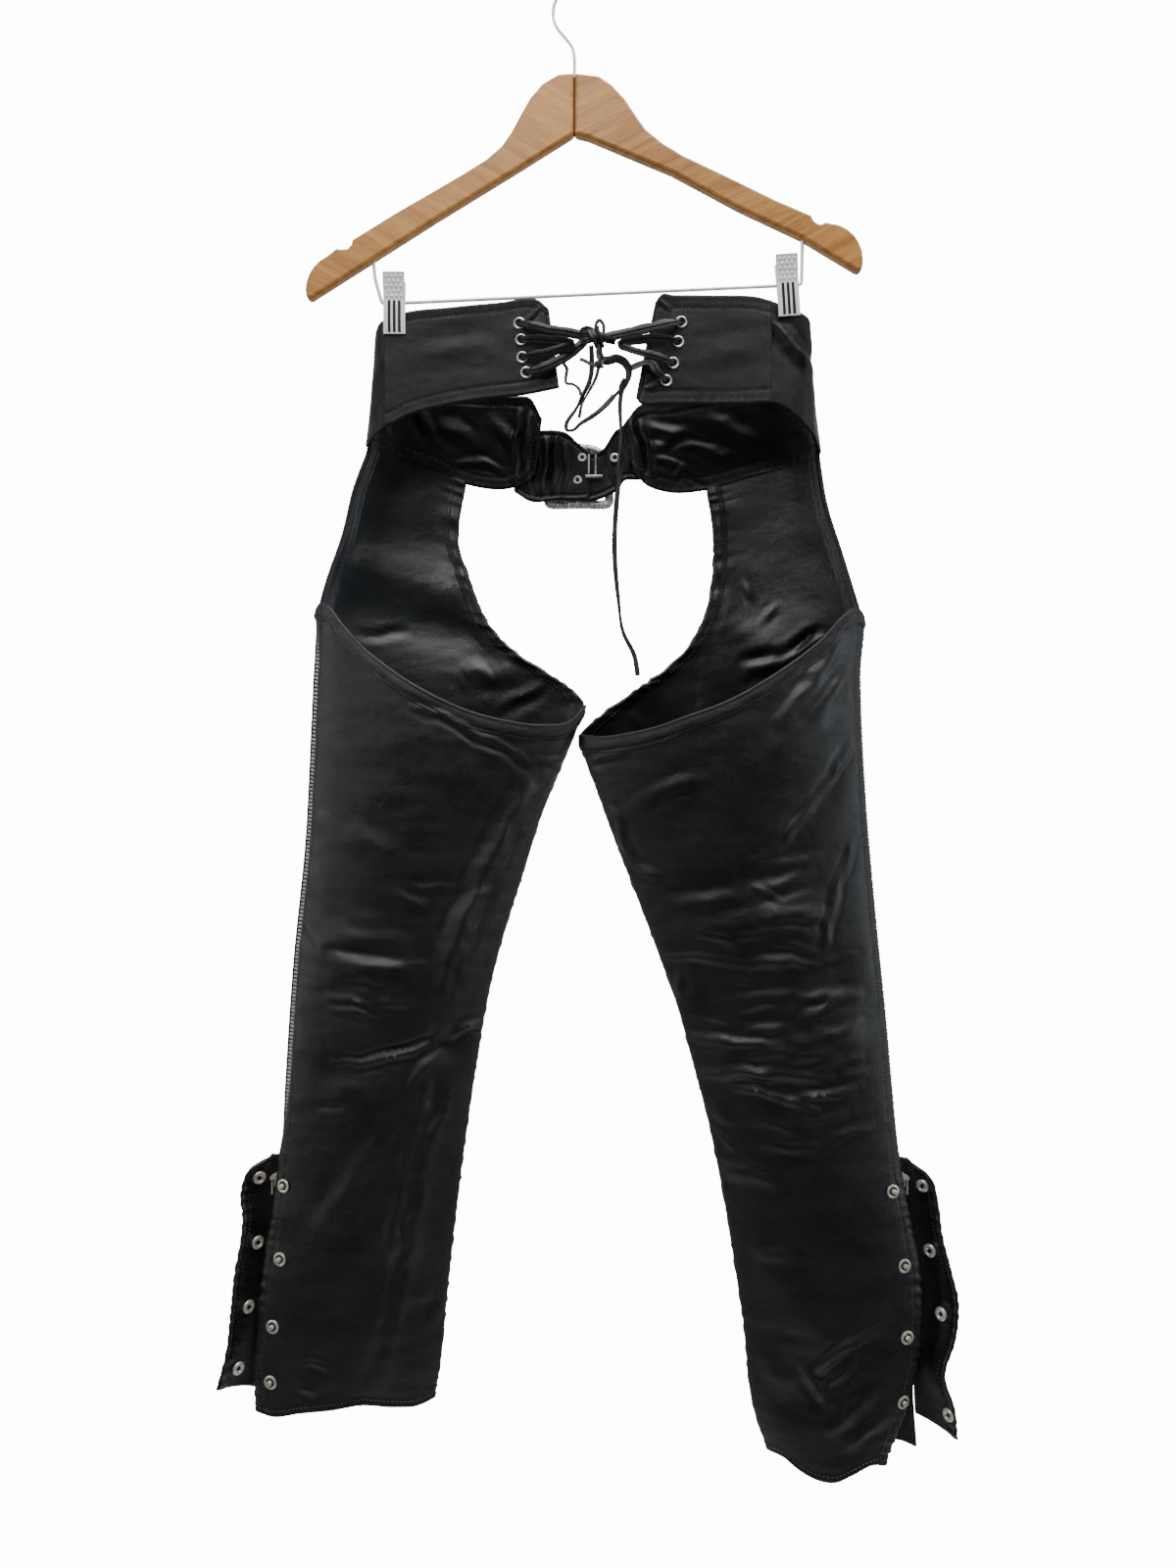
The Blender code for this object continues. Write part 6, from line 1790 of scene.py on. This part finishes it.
def make_zips():
    """The closed zip of each leg: its tape and the teeth on it."""
    for side in OUTWARD:
        outer = back_outer_line[side]
        top = MOUTH_DROP[side][0] + 1.0
        drop_at = outer.pace(top, ZIP_FOOT_DROP)
        count = int((ZIP_FOOT_DROP - top) / TOOTH_PITCH)
        heap = Heap()
        for n in range(count + 1):
            v = (n + 0.5) / (count + 1)
            place = outer.point(drop_at(v))
            place.x -= OUTWARD[side] * TOOTH_INSET[side]
            place.y -= TOOTH_TOWARD[side]
            slant = OUTWARD[side] * TOOTH_SLANT
            lean = Vector((TOOTH_WIDE / 2, 0, slant / 2))
            tooth = [(-TOOTH_DEEP / 2, TOOTH_HIGH / 2), (-TOOTH_DEEP / 2, -TOOTH_HIGH / 2),
                     (TOOTH_DEEP / 2, -TOOTH_HIGH / 2), (TOOTH_DEEP / 2, TOOTH_HIGH / 2)]
            heap.add(*tube([place - lean, place + lean], tooth, start_up=(0, 0, 1),
                           taper=lambda s: 1.0))
        steps = 90
        route = []
        for n in range(steps + 1):
            place = outer.point(drop_at(n / steps))
            route.append(place + Vector((-OUTWARD[side] * TAPE_WIDTH / 2, TAPE_BEHIND, 0)))
        heap.add(*tube(route, flat_section(TAPE_WIDTH, TAPE_THICKNESS)), 1)
        made = heap.piece(f"zip_chain_{side}_teeth", (ZIP_LOOK, TAPE_LOOK))
        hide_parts(f"zip_chain_{side}")


def bar_height(across):
    """The height of the bar's middle at one place across."""
    share = (across - BAR_LEFT[0]) / (BAR_RIGHT[0] - BAR_LEFT[0])
    return mix(BAR_LEFT[1], BAR_RIGHT[1], share)


def jaw_depth(height):
    """How far the front jaw's face stands out at a height above the bar."""
    for (deep_a, high_a), (deep_b, high_b) in zip(JAW_LINE, JAW_LINE[1:]):
        if height >= high_b:
            return mix(deep_b, deep_a, min((height - high_b) / (high_a - high_b), 1.0))
    return JAW_LINE[-1][0]


def make_clip_relief():
    """Rows of small bumps on each clip's grip, and ribs down its jaw, with painted shade between
    the ribs.
    """
    for side, (across, lean) in CLIP_PLACE.items():
        place = (Matrix.Translation((across, 0, bar_height(across)))
                 @ Matrix.Rotation(math.radians(-lean), 4, "Y"))
        heap = Heap()
        for row in range(BUMP_ROWS):
            height = BUMP_TOP - row * BUMP_DOWN
            for n in range(BUMP_COUNT - row % 2):
                x = (n - (BUMP_COUNT - 1 - row % 2) / 2) * BUMP_ACROSS
                seat = place @ Vector((x, -jaw_depth(height) + 0.15, height))
                turn = Matrix.Rotation(math.pi / 2, 4, "X")
                dome = [(BUMP_RADIUS, 0), (BUMP_RADIUS * 0.86, 0.4),
                        (BUMP_RADIUS * 0.5, 0.72), (0, 0.85), (0, 0)]
                heap.add(*turned_shape(dome, 14, Matrix.Translation(seat) @ turn))
        for n in range(RIB_COUNT):
            x = (n - (RIB_COUNT - 1) / 2) * RIB_PITCH
            route = []
            for step in range(13):
                height = mix(RIB_TOP, RIB_FOOT, step / 12)
                route.append(place @ Vector((x, -jaw_depth(height) - 0.05, height)))
            heap.add(*tube(route, round_section(RIB_RADIUS, 12),
                           taper=lambda s: min(1.0, 0.35 + 5 * s, 0.35 + 5 * (1 - s))))
        # Dark strips of painted shade in the gaps between the ribs.
        for n in range(RIB_COUNT - 1):
            x = (n - (RIB_COUNT - 2) / 2) * RIB_PITCH
            route = []
            for step in range(13):
                height = mix(RIB_TOP, RIB_FOOT, step / 12)
                route.append(place @ Vector((x, -jaw_depth(height) - 0.03, height)))
            heap.add(*tube(route, flat_section(RIB_PITCH - 2 * RIB_RADIUS, 0.2)), 1)
        made = heap.piece(f"clip_relief_{side}", (CHROME_LOOK, RECESS_SHADE_LOOK))


MITRE_X = 0.55
MITRE_WIDTH = 0.76
MITRE_DEEP = 9.0
MITRE_TOP = -77.0
MITRE_FOOT = -121.0
MITRE_LOOK = metal("mitre_glue", (0.075, 0.036, 0.016), 0.6, 0.1, 0.6, 0.0)


def make_mitre():
    """The dark glue line between the two arms of the hanger."""
    route = [(MITRE_X, 0.0, mix(MITRE_TOP, MITRE_FOOT, step / 8)) for step in range(9)]
    heap = Heap()
    heap.add(*tube(route, flat_section(MITRE_WIDTH, MITRE_DEEP)))
    heap.piece("hanger_mitre", MITRE_LOOK)


def dress_nodes():
    """Better finishes for the solids that stay."""
    wood = {"left": beech("beech_left", (0.57, 0.27, 0.062), (0.36, 0.145, 0.028), -0.52),
            "right": beech("beech_right", (0.52, 0.245, 0.058), (0.30, 0.118, 0.024), 0.47)}
    looks = {"clip": CHROME_LOOK, "hanger_hook": CHROME_LOOK, "buckle": BUCKLE_LOOK,
             "eyelet": NICKEL_LOOK, "snap_s": NICKEL_LOOK, "zip_chain": ZIP_LOOK,
             "zip_slider": NICKEL_LOOK, "zip_tab": NICKEL_LOOK, "lace": LACE_LOOK,
             "hanger_arm_left": wood["left"], "hanger_arm_right": wood["right"]}
    for name, node in nodes.items():
        for start, look in looks.items():
            if name.startswith(start):
                node.data.materials.clear()
                node.data.materials.append(look)


make_stage()
make_lace()
make_knot()
make_legs()
make_yokes()
make_belt()
make_buckle()
make_flaps()
make_fittings()
make_zips()
make_clip_relief()
make_mitre()
dress_nodes()
